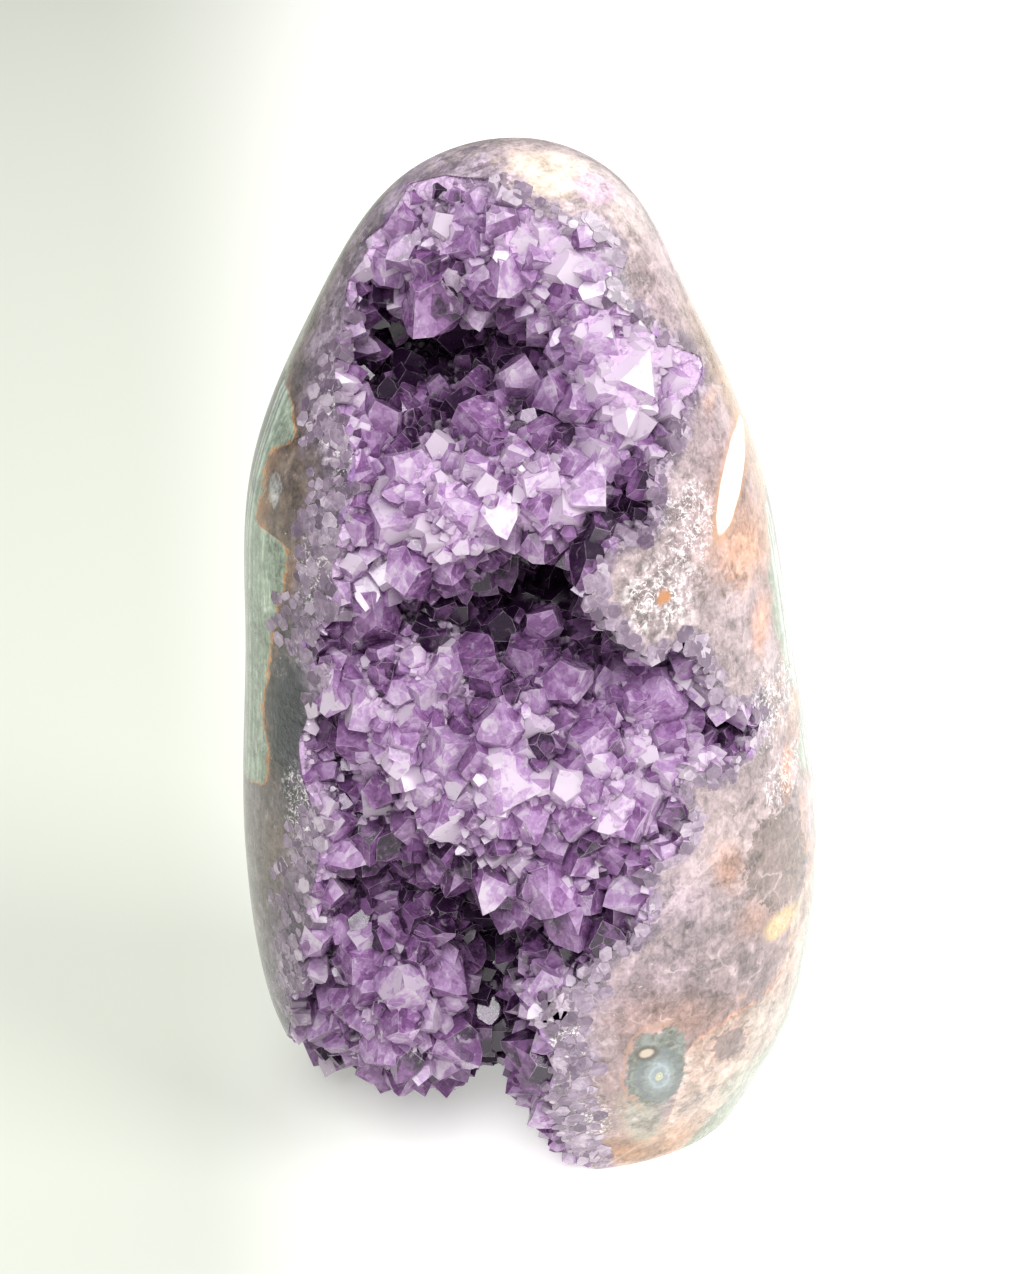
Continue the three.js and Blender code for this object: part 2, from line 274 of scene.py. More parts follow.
    def full_depth(self, x: Array, z: Array) -> Array:
        """Gives the lining's depth below the polished form, away from the rim.

        Args:
            x: places across, in millimetres.
            z: heights above the base, in millimetres.

        Returns:
            The depths in millimetres, in the shape of x.
        """
        depth = np.full(np.shape(x), self.depth)
        for middle_x, middle_z, wide, high, change in self.hollows_and_lumps:
            away = ((x - middle_x) / wide) ** 2 + ((z - middle_z) / high) ** 2
            depth = depth + change * np.exp(-away)
        depth = depth + 1.0 * ripple(x, z, 6.0, 3) + 0.5 * ripple(x, z, 2.6, 4)
        return np.maximum(self.least_depth, depth)

    def lining(self, x: Array, z: Array, inside: Array) -> Array:
        """Gives the Y of the lining at places whose distance inside the rim is known."""
        share = smooth(inside / self.ramp_width + self.ramp_step)
        return self.form.front(x, z) + self.full_depth(x, z) * share


@dataclass
class LiningMap:
    """The lining looked up on a fine grid, because thousands of points stand on it."""

    pocket: Pocket
    step: float = 0.5
    nook_cells: int = 12
    x: Array = field(init=False)
    z: Array = field(init=False)
    depth: Array = field(init=False)
    face: Array = field(init=False)
    inside: Array = field(init=False)
    nook: Array = field(init=False)

    def __post_init__(self) -> None:
        """Fills the grid."""
        self.x = np.arange(-42, 36, self.step)
        self.z = np.arange(-6, 149, self.step)
        grid_x, grid_z = np.meshgrid(self.x, self.z, indexing="ij")
        self.inside = self.pocket.rim_distance(grid_x, grid_z)
        self.face = self.pocket.lining(grid_x, grid_z, self.inside)
        self.depth = self.face - self.pocket.form.front(grid_x, grid_z)
        self.nook = self.depth - self.blurred(self.depth, self.nook_cells)

    @staticmethod
    def blurred(table: Array, cells: int) -> Array:
        """Smooths a grid over some cells either way.

        Args:
            table: the grid.
            cells: how far it is smoothed.

        Returns:
            The smoothed grid.
        """
        weights = np.hanning(2 * cells + 3)
        weights /= weights.sum()

        def blur(row: Array) -> Array:
            """Smooths one row, held level beyond its ends."""
            return np.convolve(np.pad(row, cells + 1, "edge"), weights, "valid")

        return np.apply_along_axis(blur, 1, np.apply_along_axis(blur, 0, table))

    def look(self, table: Array, x: Array, z: Array) -> Array:
        """Reads one of the grids between its nodes.

        Args:
            table: the grid.
            x: places across, in millimetres.
            z: heights above the base, in millimetres.

        Returns:
            The grid's value at each place.
        """
        place_x = np.clip((np.asarray(x, float) - self.x[0]) / self.step, 0, len(self.x) - 1.001)
        place_z = np.clip((np.asarray(z, float) - self.z[0]) / self.step, 0, len(self.z) - 1.001)
        i, j = place_x.astype(int), place_z.astype(int)
        u, v = place_x - i, place_z - j
        low = table[i, j] * (1 - u) + table[i + 1, j] * u
        high = table[i, j + 1] * (1 - u) + table[i + 1, j + 1] * u
        return low * (1 - v) + high * v

    def slope(self, x: Array, z: Array, reach: float = 1.0) -> Array:
        """Gives the lining's outward vectors, as long as the lining is steep.

        Args:
            x: places across, in millimetres.
            z: heights above the base, in millimetres.
            reach: how far apart the lining is compared.

        Returns:
            The vectors, one for each place, with -1 along Y.
        """
        face = self.face
        slope_x = (self.look(face, x + reach, z) - self.look(face, x - reach, z)) / (2 * reach)
        slope_z = (self.look(face, x, z + reach) - self.look(face, x, z - reach)) / (2 * reach)
        return np.stack([slope_x, np.full(np.shape(x), -1.0), slope_z], -1)


# ---------------------------------------------------------------- quartz points


class ConvexSolid:
    """A closed convex solid that planes cut smaller."""

    TOUCH = 1e-7

    def __init__(self, half: float, low: float, high: float) -> None:
        """Starts as a square block.

        Args:
            half: half-width along X and Y.
            low: its lowest Z.
            high: its highest Z.
        """
        sides = (-half, half)
        corners = np.array([(x, y, z) for x in sides for y in sides for z in (low, high)], float)
        quads = ((0, 1, 3, 2), (4, 6, 7, 5), (0, 4, 5, 1), (2, 3, 7, 6), (0, 2, 6, 4), (1, 5, 7, 3))
        self.sides: list[Array] = [corners[list(quad)] for quad in quads]

    @classmethod
    def of_mesh(cls, vertices: Array, faces: Faces) -> "ConvexSolid":
        """Takes over a mesh's faces.

        Args:
            vertices: the corners, one row each.
            faces: corner numbers of each face.

        Returns:
            The solid.
        """
        solid = cls.__new__(cls)
        solid.sides = [vertices[list(face)] for face in faces]
        return solid

    def cut(self, normal: Array, offset: float) -> "ConvexSolid":
        """Keeps what lies behind a plane.

        Args:
            normal: the plane's unit normal.
            offset: the plane's distance from the origin along it.

        Returns:
            The solid itself.
        """
        kept, rim = [], []
        for side in self.sides:
            ahead = side @ normal - offset
            ahead[np.abs(ahead) < self.TOUCH] = 0
            if (ahead <= 0).all():
                kept.append(side)
                rim.extend(side[ahead == 0])
                continue
            ring = []
            following = np.roll(side, -1, 0)
            for a, b, ahead_a, ahead_b in zip(side, following, ahead, np.roll(ahead, -1)):
                if ahead_a <= 0:
                    ring.append(a)
                if ahead_a == 0:
                    rim.append(a)
                if ahead_a < 0 < ahead_b:
                    ring.append(a + (b - a) * ahead_a / (ahead_a - ahead_b))
                    rim.append(ring[-1])
                if ahead_b < 0 < ahead_a:
                    ring.append(b + (a - b) * ahead_b / (ahead_b - ahead_a))
                    rim.append(ring[-1])
            if len(ring) > 2:
                kept.append(np.array(ring))
        if len(rim) > 2:
            points = np.unique(np.round(np.array(rim), 9), axis=0)
            middle = points.mean(0)
            across = unit(np.cross(normal, (0.31, 0.57, 0.76)))
            beside = np.cross(normal, across)
            turn = np.arctan2((points - middle) @ beside, (points - middle) @ across)
            if len(points) > 2:
                kept.append(points[np.argsort(turn)])
        self.sides = kept
        return self

    def mesh(self) -> tuple[Array, Faces]:
        """Gives shared vertices and faces.

        Returns:
            The vertices, one row each, and the vertex numbers of each face.
        """
        index: dict[tuple[float, ...], int] = {}
        faces: Faces = []
        for side in self.sides:
            ring = []
            for point in side:
                k = index.setdefault(tuple(np.round(point, 6) + 0.0), len(index))
                if not ring or ring[-1] != k:
                    ring.append(k)
            if len(ring) > 1 and ring[0] == ring[-1]:
                ring.pop()
            if len(ring) > 2:
                faces.append(tuple(ring))
        return np.array(list(index), float).reshape(-1, 3), faces


@dataclass(frozen=True)
class PointShape:
    """How one amethyst point grew: a short six-sided shaft of unit radius under a tip of six slanted faces.

    The tip's faces are raised by draws from two ranges in turn, so that three of them grow large.
    """

    seed: int
    tip_angle: float = math.radians(51.8)
    tip_spread: tuple[float, float] = (-0.03, 0.13)
    girth: float = 0.92
    unevenness: float = 0.2
    turn_spread: float = 0.03
    slant_spread: float = 0.04
    lifts: tuple[tuple[float, float], ...] = ((-0.22, 0.02), (0.12, 0.6))
    root: float = 1.6
    shaft: float = 1.0

    def build(self) -> tuple[Array, Faces]:
        """Cuts the point from a block.

        Returns:
            Vertices and faces: Z is the point's axis and the tip is its highest place.
        """
        rng = np.random.default_rng(self.seed)
        solid = ConvexSolid(2.0, -self.root, 6.0)
        tip_angle = self.tip_angle + rng.uniform(*self.tip_spread)
        height = self.shaft + math.tan(tip_angle)
        turns = np.arange(6) * math.pi / 3 + rng.normal(0, self.turn_spread, 6)
        for turn in turns:
            outward = np.array([math.cos(turn), math.sin(turn), 0.0])
            solid.cut(outward, self.girth * (1 + rng.uniform(-self.unevenness, self.unevenness)))
        for k, turn in enumerate(turns):
            slant = tip_angle + rng.normal(0, self.slant_spread)
            outward = np.array([math.cos(turn) * math.sin(slant), math.sin(turn) * math.sin(slant),
                                math.cos(slant)])
            lift = rng.uniform(*self.lifts[k % 2])
            solid.cut(outward, (height + lift) * math.cos(slant))
        return solid.mesh()


@dataclass
class PointCrowd:
    """Amethyst points joined in one mesh, with the numbers that their finish reads."""

    edge_width: float = 0.0
    widest_border: float = 0.4
    vertices: list[Array] = field(default_factory=list)
    faces: Faces = field(default_factory=list)
    tone: list[Array] = field(default_factory=list)
    growth: list[Array] = field(default_factory=list)
    edge: list[Array] = field(default_factory=list)
    facet: list[float] = field(default_factory=list)
    used: int = 0

    def add(self, vertices: Array, faces: Faces, growth: Array, tone: float, facets: Array) -> None:
        """Adds one point, with a narrow border along the edges of its facets if the crowd has edges, where
        the finish paints a highlight.

        Args:
            vertices: its corners, in millimetres.
            faces: its faces.
            growth: each corner's height along the point, from 0 at the root to 1 at the tip.
            tone: how dark its purple is, from 0 to 1.
            facets: a number from 0 to 1 for each face.
        """
        edge = np.ones(len(vertices))
        if self.edge_width > 0:
            vertices, faces, growth, facets = self.bordered(vertices, faces, growth, facets)
            edge = np.concatenate([edge, np.zeros(len(vertices) - len(edge))])
        self.vertices.append(vertices)
        self.faces.extend(tuple(k + self.used for k in face) for face in faces)
        self.growth.append(growth)
        self.tone.append(np.full(len(vertices), tone))
        self.edge.append(edge)
        self.facet.extend(facets)
        self.used += len(vertices)

    def bordered(self, vertices: Array, faces: Faces, growth: Array,
                 facets: Array) -> tuple[Array, Faces, Array, Array]:
        """Gives every facet of a point a narrow border along its edges, for the finish's painted highlight.

        Args:
            vertices: its corners, in millimetres.
            faces: its faces.
            growth: each corner's height along the point.
            facets: each face's number.

        Returns:
            The same four with the borders' inner corners and faces added.
        """
        inner_faces: Faces = []
        numbers: list[float] = []
        places, heights = [vertices], [growth]
        used = len(vertices)
        for face, number in zip(faces, facets):
            ring = list(face)
            inward = vertices[ring].mean(0) - vertices[ring]
            length = np.maximum(np.linalg.norm(inward, axis=1), 1e-6)
            share = np.minimum(self.widest_border, self.edge_width / length)[:, None]
            places.append(vertices[ring] + inward * share)
            heights.append(growth[ring] + (growth[ring].mean() - growth[ring]) * share[:, 0])
            inner = list(range(used, used + len(ring)))
            used += len(ring)
            for k, start in enumerate(ring):
                following = (k + 1) % len(ring)
                inner_faces.append((start, ring[following], inner[following], inner[k]))
            inner_faces.append(tuple(inner))
            numbers.extend([number] * (len(ring) + 1))
        return np.concatenate(places), inner_faces, np.concatenate(heights), np.array(numbers)

    def piece(self, name: str) -> bpy.types.Object:
        """Makes the crowd one piece.

        Args:
            name: the piece's name.

        Returns:
            The piece, with its numbers as attributes.
        """
        piece = mesh_piece(name, np.concatenate(self.vertices), self.faces)
        for key in ("tone", "growth", "edge"):
            write_attribute(piece, key, np.concatenate(getattr(self, key)))
        write_attribute(piece, "facet", np.array(self.facet), "FACE")
        return piece


# ---------------------------------------------------------------- meshes


def linked(name: str, data: bpy.types.ID) -> bpy.types.Object:
    """Makes an object of some data and puts it in the scene.

    Args:
        name: the object's name.
        data: its mesh, light or camera.

    Returns:
        The object.
    """
    thing = bpy.data.objects.new(name, data)
    bpy.context.scene.collection.objects.link(thing)
    return thing


def mesh_piece(name: str, vertices: Array, faces: Iterable[Sequence[int]]) -> bpy.types.Object:
    """Makes a piece from arrays.

    Args:
        name: the piece's name.
        vertices: corners in millimetres, one row each.
        faces: corner numbers of each face.

    Returns:
        The new object, at the origin.
    """
    mesh = bpy.data.meshes.new(name)
    mesh.from_pydata((np.asarray(vertices) * MM).tolist(), [], list(faces))
    mesh.validate()
    mesh.update()
    return linked(name, mesh)


def write_attribute(piece: bpy.types.Object, name: str, values: Array, domain: str = "POINT") -> None:
    """Stores one number for each vertex or face of a piece."""
    attribute = piece.data.attributes.new(name, "FLOAT", domain)
    attribute.data.foreach_set("value", np.asarray(values, np.float32))


def vertices_of(piece: bpy.types.Object) -> Array:
    """Gives a piece's vertices in millimetres, one row each.

    Args:
        piece: a mesh object.

    Returns:
        The vertices.
    """
    flat = np.empty(len(piece.data.vertices) * 3, np.float32)
    piece.data.vertices.foreach_get("co", flat)
    return flat.reshape(-1, 3).astype(float) / MM


def set_vertices(piece: bpy.types.Object, vertices: Array) -> None:
    """Moves a piece's vertices to places in millimetres."""
    piece.data.vertices.foreach_set("co", (vertices * MM).astype(np.float32).ravel())
    piece.data.update()


def choose(piece: bpy.types.Object) -> None:
    """Makes a piece the only selected and active object.

    Args:
        piece: the piece.
    """
    bpy.ops.object.select_all(action="DESELECT")
    piece.select_set(True)
    bpy.context.view_layer.objects.active = piece


def primitive(name: str, operator: Callable[..., set[str]], **sizes: float) -> bpy.types.Object:
    """Adds a primitive to shape further, with everything else deselected.

    Args:
        name: the object's name.
        operator: the operator that adds it.
        sizes: what the operator is given.

    Returns:
        The new object.
    """
    bpy.ops.object.select_all(action="DESELECT")
    operator(**sizes)
    piece = bpy.context.object
    piece.name = name
    return piece


def thicken(depth: float) -> None:
    """Extrudes the active sheet along Y, in millimetres, and turns the closed solid's faces outwards.

    Args:
        depth: how far it is extruded; less than nothing is forwards.
    """
    bpy.ops.object.mode_set(mode="EDIT")
    bpy.ops.mesh.select_all(action="SELECT")
    bpy.ops.mesh.extrude_region_move(TRANSFORM_OT_translate={"value": (0, depth * MM, 0)})
    bpy.ops.mesh.select_all(action="SELECT")
    bpy.ops.mesh.normals_make_consistent(inside=False)
    bpy.ops.object.mode_set(mode="OBJECT")


def boolean(piece: bpy.types.Object, other: bpy.types.Object, operation: str) -> None:
    """Cuts or joins a piece with another, which is then deleted.

    Args:
        piece: the piece that changes.
        other: the closed mesh that it is cut or joined with.
        operation: the Boolean modifier's operation.
    """
    choose(piece)
    modifier = piece.modifiers.new(operation, "BOOLEAN")
    modifier.operation = operation
    modifier.object = other
    modifier.solver = "EXACT"
    bpy.ops.object.modifier_apply(modifier=modifier.name)
    bpy.data.objects.remove(other)


@dataclass(frozen=True)
class LargePoint:
    """One of the points large enough to be placed one by one, in millimetres."""

    x: float
    z: float
    radius: float
    shaft: float
    lean_right: float
    lean_up: float
    tone: float = 0.35


LARGE_POINTS = tuple(LargePoint(*numbers) for numbers in (
    (-13.5, 130.5, 4.0, 1.0, -0.1, -0.1, 0.5), (-9, 138, 3, 0.8, 0, -0.1, 0.3), (-20, 134, 2.8, 1, 0.2, 0),
    (-4, 134.5, 3.1, 0.6, -0.1, -0.1), (13.5, 121.5, 5.6, 0.5, 0, 0.2, 0.05),
    (9.5, 126.5, 4, 0.4, 0.2, 0.2, 0.08),
    (19, 119.5, 4, 0.4, 0.2, 0, 0.1), (-2, 118, 3.2, 2.4, 0.2, 0.7, 0.3), (-20.5, 113.5, 3.3, 1.4, -0.3, 0.6),
    (3, 117, 2.8, 2.2, 0.1, 0.7), (-19, 103, 4.4, 0.8, -0.3, 0, 0.15), (-16.5, 97, 3.6, 1.4, 0.1, -0.3),
    (-9, 105, 3.4, 0.8, 0, 0, 0.2), (0, 106, 3.6, 0.8, 0.1, 0.2), (7.5, 107, 4.3, 1.4, 0.3, -0.5, 0.15),
    (-23, 86, 4.3, 3, 0, 0.75), (-24, 75, 4.6, 1, -0.1, -0.3, 0.2), (-8, 82, 4.2, 0.8, 0.1, 0.1, 0.45),
    (0.5, 85, 2.7, 3.4, 0.5, 0.8), (4, 79.5, 3.4, 2.2, 0.1, 0.7), (17.5, 78.5, 4.6, 0.8, 0.1, 0, 0.15),
    (18.5, 71, 3, 1.6, 0.1, 0.2), (8, 72, 3.5, 1.4, -0.2, 0.1), (-3, 67.5, 5.6, 2.2, 0.55, 0.1, 0.05),
    (-12, 71, 4.6, 1.8, 0.1, 0.55, 0.15), (-12.5, 61.5, 4.4, 1.2, -0.2, -0.2, 0.2),
    (15.5, 64, 4.6, 1.6, -0.1, 0.2, 0.1), (6, 62, 3.8, 1.2, 0, 0), (3, 50, 4.6, 1.6, 0.3, -0.4, 0.2),
    (-6, 52, 3.6, 1, 0, -0.5), (-19, 33, 4.4, 2, 0.2, 0.5, 0.15), (-25, 36, 3.4, 1, -0.2, 0.2),
    (-12.5, 22, 4, 1.6, 0.4, -0.2), (-22, 22, 3.8, 1.6, -0.1, 0.2), (-30, 22, 3.6, 1, -0.4, 0),
    (-22, 11, 3.2, 0.8, 0, -0.2), (-14, 12, 3, 0.6, 0.1, -0.1), (1.5, 30, 3, 0.8, -0.5, 0.3),
    (0.5, 24, 3.2, 0.6, -0.4, 0), (-0.5, 17, 3, 0.8, -0.5, 0.2), (1.2, 12, 2.6, 0.6, -0.3, 0),
    (-1.5, 7, 3, 0.6, -0.5, 0),
))


class PointSize(Enum):
    """The other points' sizes: tries, least and greatest radius, and the width of the painted highlight along
    their facets' edges.
    """

    MEDIUM = (6500, 2.0, 3.8, 0.17)
    SMALL = (9000, 1.15, 2.0, 0.12)
    FINE = (22000, 0.5, 1.15, 0.0)


@dataclass
class AmethystCrust:
    """The crust of amethyst points in the pocket, and the druse that they stand on, darkened by painted shade
    in the hollows.
    """

    lining: LiningMap
    seed: int = 11
    variants: int = 36
    crowding: float = 0.53
    base_tone: float = 0.335
    forward_pull: float = 0.6
    floor_gap: float = 0.4
    rim_tries: int = 14000
    rim_rise: float = 0.06
    front_limit: float = 35.95
    flush: float = 0.05
    most_cuts: int = 9
    cut_radii: tuple[float, float] = (0.5, 1.35)
    bed_cell: float = 0.7
    bed_thickness: float = 3.0
    # Spots x, z, reach and change: positive changes paint shade into hollows, negative ones paint light onto
    # bulges; the strongest negative one pales the frosted crown.
    painted_shade_and_light_spots: tuple[tuple[float, float, float, float], ...] = (
        (14, 121, 8, -0.9), (-15, 104, 9, -0.17), (-22, 96, 6, -0.2), (5, 107, 7, -0.12), (-21, 80, 7, -0.1),
        (-3, 67, 8, -0.12), (15, 64, 6, -0.12), (17, 78, 6, -0.12), (-19, 18, 8, -0.08), (-19, 119, 6, 0.35),
        (-8, 119, 7, 0.35), (2, 117, 5, 0.25), (5, 91, 9, 0.4), (-6, 89, 7, 0.25), (-26, 88, 6, 0.35),
        (5, 136, 7, -0.35), (-12, 143, 9, 0.1), (-12, 121, 9, -0.12), (-30, 50, 6, 0.05), (-6, 42, 9, 0.4),
        (-3, 22, 6, 0.5), (-20, 49, 7, 0.3), (11, 41, 5, 0.5), (30, 71, 4, 0.25), (22, 77, 6, -0.3),
        (17, 106, 5, 0.35), (11, 98, 5, 0.35),
    )
    stands: list[tuple[Array, float]] = field(default_factory=list)

    def __post_init__(self) -> None:
        """Grows the shapes that the points are copies of."""
        self.rng = np.random.default_rng(self.seed)
        self.shapes = [PointShape(seed).build() for seed in range(self.variants)]

    def base(self, x: float, z: float) -> tuple[Array, Array, float]:
        """Gives the place on the lining at [x, z], its outward vector and the depth there."""
        place = np.array([x, float(self.lining.look(self.lining.face, x, z)), z])
        return place, self.lining.slope(x, z), float(self.lining.look(self.lining.depth, x, z))

    def grow(self, crowd: PointCrowd, place: Array, axis: Array, radius: float, shaft: float,
             tone: float) -> None:
        """Adds one point to a crowd, ground flush where it would pass the polished form.

        Args:
            crowd: where it goes.
            place: where its axis meets the lining.
            axis: its direction, a unit vector.
            radius: its radius.
            shaft: length of the shaft that shows.
            tone: how dark it is.
        """
        shape, faces = self.shapes[int(self.rng.integers(self.variants))]
        tip = shape[:, 2].max() - PointShape.shaft
        ahead, beyond = self.lining.pocket.form.outward((place + axis * (shaft + tip * radius))[None])
        sink = np.clip(beyond[0] + 0.3, 0, 0.55 * (shaft + tip * radius)) / max(0.4, float(ahead[0] @ axis))
        turn = self.rng.uniform(0, 2 * math.pi)
        across = unit(np.cross(axis, (math.cos(turn), 0.3, math.sin(turn))))
        local = shape - (0, 0, PointShape.shaft)
        vertices = self.turned(local * radius, axis, across) + place + axis * (shaft - sink)
        growth = np.clip((local[:, 2] + 1.0) / (tip + 1.0), 0, 1)
        _, outside = self.lining.pocket.form.outward(vertices)
        if (outside > -self.flush).any() or vertices[:, 2].min() < self.floor_gap:
            vertices, faces = self.ground(ConvexSolid.of_mesh(vertices, faces)).mesh()
            if len(faces) < 4:
                return
            along = (vertices - place) @ axis / radius + 1.0 - (shaft - sink) / radius
            growth = np.clip(along / (tip + 1), 0, 1)
        crowd.add(vertices, faces, growth, tone, self.rng.uniform(0, 1, len(faces)))

    @staticmethod
    def turned(vertices: Array, axis: Array, across: Array) -> Array:
        """Turns a point's Z to its axis and its X across it, both unit vectors."""
        return vertices @ np.stack([across, np.cross(axis, across), axis])

    def ground(self, solid: ConvexSolid) -> ConvexSolid:
        """Grinds a point down until it lies above the floor and just inside the polished form.

        Args:
            solid: the point.

        Returns:
            The same solid, cut smaller.
        """
        solid.cut(np.array([0.0, 0.0, -1.0]), -self.floor_gap)
        for _ in range(self.most_cuts):
            if not solid.sides:
                break
            vertices = np.concatenate(solid.sides)
            outward, outside = self.lining.pocket.form.outward(vertices)
            worst = int(outside.argmax())
            if outside[worst] < -self.flush:
                break
            level = float(vertices[worst] @ outward[worst]) - float(outside[worst]) - self.flush - 0.03
            solid.cut(outward[worst], level)
        return solid

    def tone_at(self, x: float, z: float, depth: float) -> float:
        """Draws a tone: the painted shade and light from shade, with a random spread."""
        return float(np.clip(self.shade(x, z, depth) + self.rng.normal(0, 0.2), -0.5, 1.05))

    def shade(self, x: Array, z: Array, depth: Array) -> Array:
        """Gives how dark the points are painted: painted shade where the lining lies deep and in its nooks,
        and painted shade and light at listed spots.

        Args:
            x: places across, in millimetres.
            z: heights above the base, in millimetres.
            depth: the lining's depth there.

        Returns:
            How dark it is, from about 0 to 1.
        """
        nook = np.clip(self.lining.look(self.lining.nook, x, z), -2.5, 4)
        # Painted shade: darker the deeper the lining lies, and in its nooks.
        tone = self.base_tone + 0.022 * (depth - 5) + 0.07 * nook
        # The listed spots add painted shade in hollows and painted light on bulges.
        for middle_x, middle_z, reach, change in self.painted_shade_and_light_spots:
            tone = tone + change * np.exp(-((x - middle_x) ** 2 + (z - middle_z) ** 2) / reach**2)
        return tone

    def large(self) -> bpy.types.Object:
        """Makes the points that are placed one by one.

        Returns:
            The piece.
        """
        crowd = PointCrowd(0.22)
        for point in LARGE_POINTS:
            place, slope, _ = self.base(point.x, point.z)
            axis = unit(unit(slope) + (point.lean_right, -self.forward_pull, point.lean_up))
            self.grow(crowd, place, axis, point.radius, point.shaft, point.tone)
            self.stands.append((place, point.radius))
        return crowd.piece("amethyst_large_points")

    def standing(self) -> tuple[Array, Array]:
        """Gives the places and radii of the points that stand already."""
        return np.array([place for place, _ in self.stands]), np.array([radius for _, radius in self.stands])

    def crowded(self, places: Array, radii: Array, place: Array, radius: float) -> bool:
        """Tells whether another point stands too close to a place."""
        return bool((np.linalg.norm(places - place, axis=1) < self.crowding * (radii + radius)).any())

    def scattered(self, size: PointSize) -> bpy.types.Object:
        """Makes the points of one size, wherever there is room between those that stand already.

        Args:
            size: which size.

        Returns:
            The piece.
        """
        tries, least, greatest, edge_width = size.value
        crowd = PointCrowd(edge_width)
        grid = self.lining
        places, radii = self.standing()
        used = len(radii)
        places = np.resize(places, (used + tries, 3))
        radii = np.resize(radii, used + tries)
        for _ in range(tries):
            x, z = self.rng.uniform(-38, 32), self.rng.uniform(0.2, 144.5)
            radius = least + (greatest - least) * self.rng.uniform() ** 1.6
            inside = float(grid.look(grid.inside, x, z))
            if inside < 0.15 * radius:
                continue
            place, slope, depth = self.base(x, z)
            steep = float(np.linalg.norm(slope))
            if self.rng.uniform() * 3.5 > steep or grid.pocket.form.excess(place[None])[0] > -0.01:
                continue
            if self.crowded(places[:used], radii[:used], place, radius):
                continue
            axis = unit(slope / steep + self.rng.normal(0, 0.33, 3) + (0, -0.35, 0.1))
            shaft = radius * self.rng.uniform(-0.35, 0.45)
            self.grow(crowd, place, axis, radius, shaft, self.tone_at(x, z, depth))
            places[used], radii[used] = place, radius
            self.stands.append((place, radius))
            used += 1
        return crowd.piece(f"amethyst_{size.name.lower()}_points")

    @staticmethod
    def rim_reach(x: Array, z: Array) -> Array:
        """Gives how far beyond the rim points show that were ground flat with the stone.

        Args:
            x: places across, in millimetres.
            z: heights above the base, in millimetres.

        Returns:
            Distances in millimetres.
        """
        flank = smooth((-15 - x) / 6) * smooth((z - 78) / 10) * smooth((138 - z) / 12)
        low_left = smooth((-18 - x) / 8) * smooth((66 - z) / 14)
        lobe = smooth((14 - x) / 6) * smooth((x + 4) / 4) * smooth((44 - z) / 8)
        return 1.6 + 5.5 * flank + 5.0 * low_left + 6.5 * lobe

    def cut_points(self) -> bpy.types.Object:
        """Makes the points round the rim that were ground flat with the stone, rarer further out.

        Returns:
            The piece.
        """
        crowd = PointCrowd(0.1)
        form = self.lining.pocket.form
        x, z = self.rng.uniform(-42, 34, self.rim_tries), self.rng.uniform(1, 148, self.rim_tries)
        inside = self.lining.look(self.lining.inside, x, z)
        out = np.maximum(-inside, 0) / self.rim_reach(x, z)
        shown = (inside < 0.5) & (out < 1) & (self.rng.uniform(0, 1, self.rim_tries) > out**1.5)
        spots = np.stack([x, form.front(x, z), z], 1)[shown]
        directions, _ = form.outward(spots)
        inky_corner = (spots[:, 0] < -31.5) & (np.abs(spots[:, 2] - 72) < 11)
        facing = (directions[:, 1] < -0.55) & ~inky_corner
        places, radii = self.standing()
        for place, outward in zip(spots[facing], directions[facing]):
            radius = self.rng.uniform(*self.cut_radii)
            if self.crowded(places, radii, place, radius):
                continue
            self.cut_point(crowd, place, outward, radius)
            places, radii = np.concatenate([places, place[None]]), np.append(radii, radius)
        return crowd.piece("cut_points")

    def cut_point(self, crowd: PointCrowd, place: Array, outward: Array, radius: float) -> None:
        """Adds one point that ends in a face level with the polished form.

        Args:
            crowd: where it goes.
            place: a place on the polished form.
            outward: the form's outward direction there.
            radius: the point's radius.
        """
        shape, faces = self.shapes[int(self.rng.integers(self.variants))]
        axis = unit(outward + self.rng.normal(0, 0.35, 3))
        across = unit(np.cross(axis, self.rng.normal(0, 1, 3)))
        vertices = self.turned((shape - (0, 0, 1)) * radius, axis, across) + place
        solid = ConvexSolid.of_mesh(vertices, faces).cut(outward, float(place @ outward) + self.rim_rise)
        solid.cut(np.array([0.0, -1.0, 0.0]), self.front_limit)
        solid.cut(np.array([0.0, 0.0, -1.0]), -self.floor_gap)
        vertices, faces = solid.mesh()
        if len(faces) > 3:
            numbers = self.rng.uniform(0, 1, len(faces))
            crowd.add(vertices, faces, np.full(len(vertices), 0.5), self.rng.uniform(0, 0.6), numbers)

    def bed(self) -> bpy.types.Object:
        """Makes the druse under the points: a relief sheet, drawn back to a slab and cut to the pocket.

        Returns:
            The piece, with its tone as an attribute.
        """
        sheet = relief_block("druse_bed", self.bed_cell, self.bed_face, self.bed_thickness)
        boolean(sheet, rim_prism(self.lining.pocket, 0.5, "bed_outline"), "INTERSECT")
        boolean(sheet, PolishedStone(self.lining, columns=128, rows=96).shell(0.2), "INTERSECT")
        choose(sheet)
        bpy.ops.object.mode_set(mode="EDIT")
        bpy.ops.mesh.select_all(action="SELECT")
        floor = (0, 0, self.floor_gap * MM)
        bpy.ops.mesh.bisect(plane_co=floor, plane_no=(0, 0, -1), use_fill=True, clear_outer=True)
        bpy.ops.object.mode_set(mode="OBJECT")
        bpy.ops.object.shade_flat()
        place = vertices_of(sheet)
        depth = self.lining.look(self.lining.depth, place[:, 0], place[:, 2])
        # The bed's tone is painted shade in the hollows and painted light on the bulges.
        write_attribute(sheet, "tone", self.shade(place[:, 0], place[:, 2], depth))
        return sheet

    def bed_face(self, x: Array, z: Array) -> Array:
        """Gives the druse's Y, always a little behind the polished form."""
        grid = self.lining
        return np.maximum(grid.look(grid.face, x, z), grid.pocket.form.front(x, z) + 0.3)


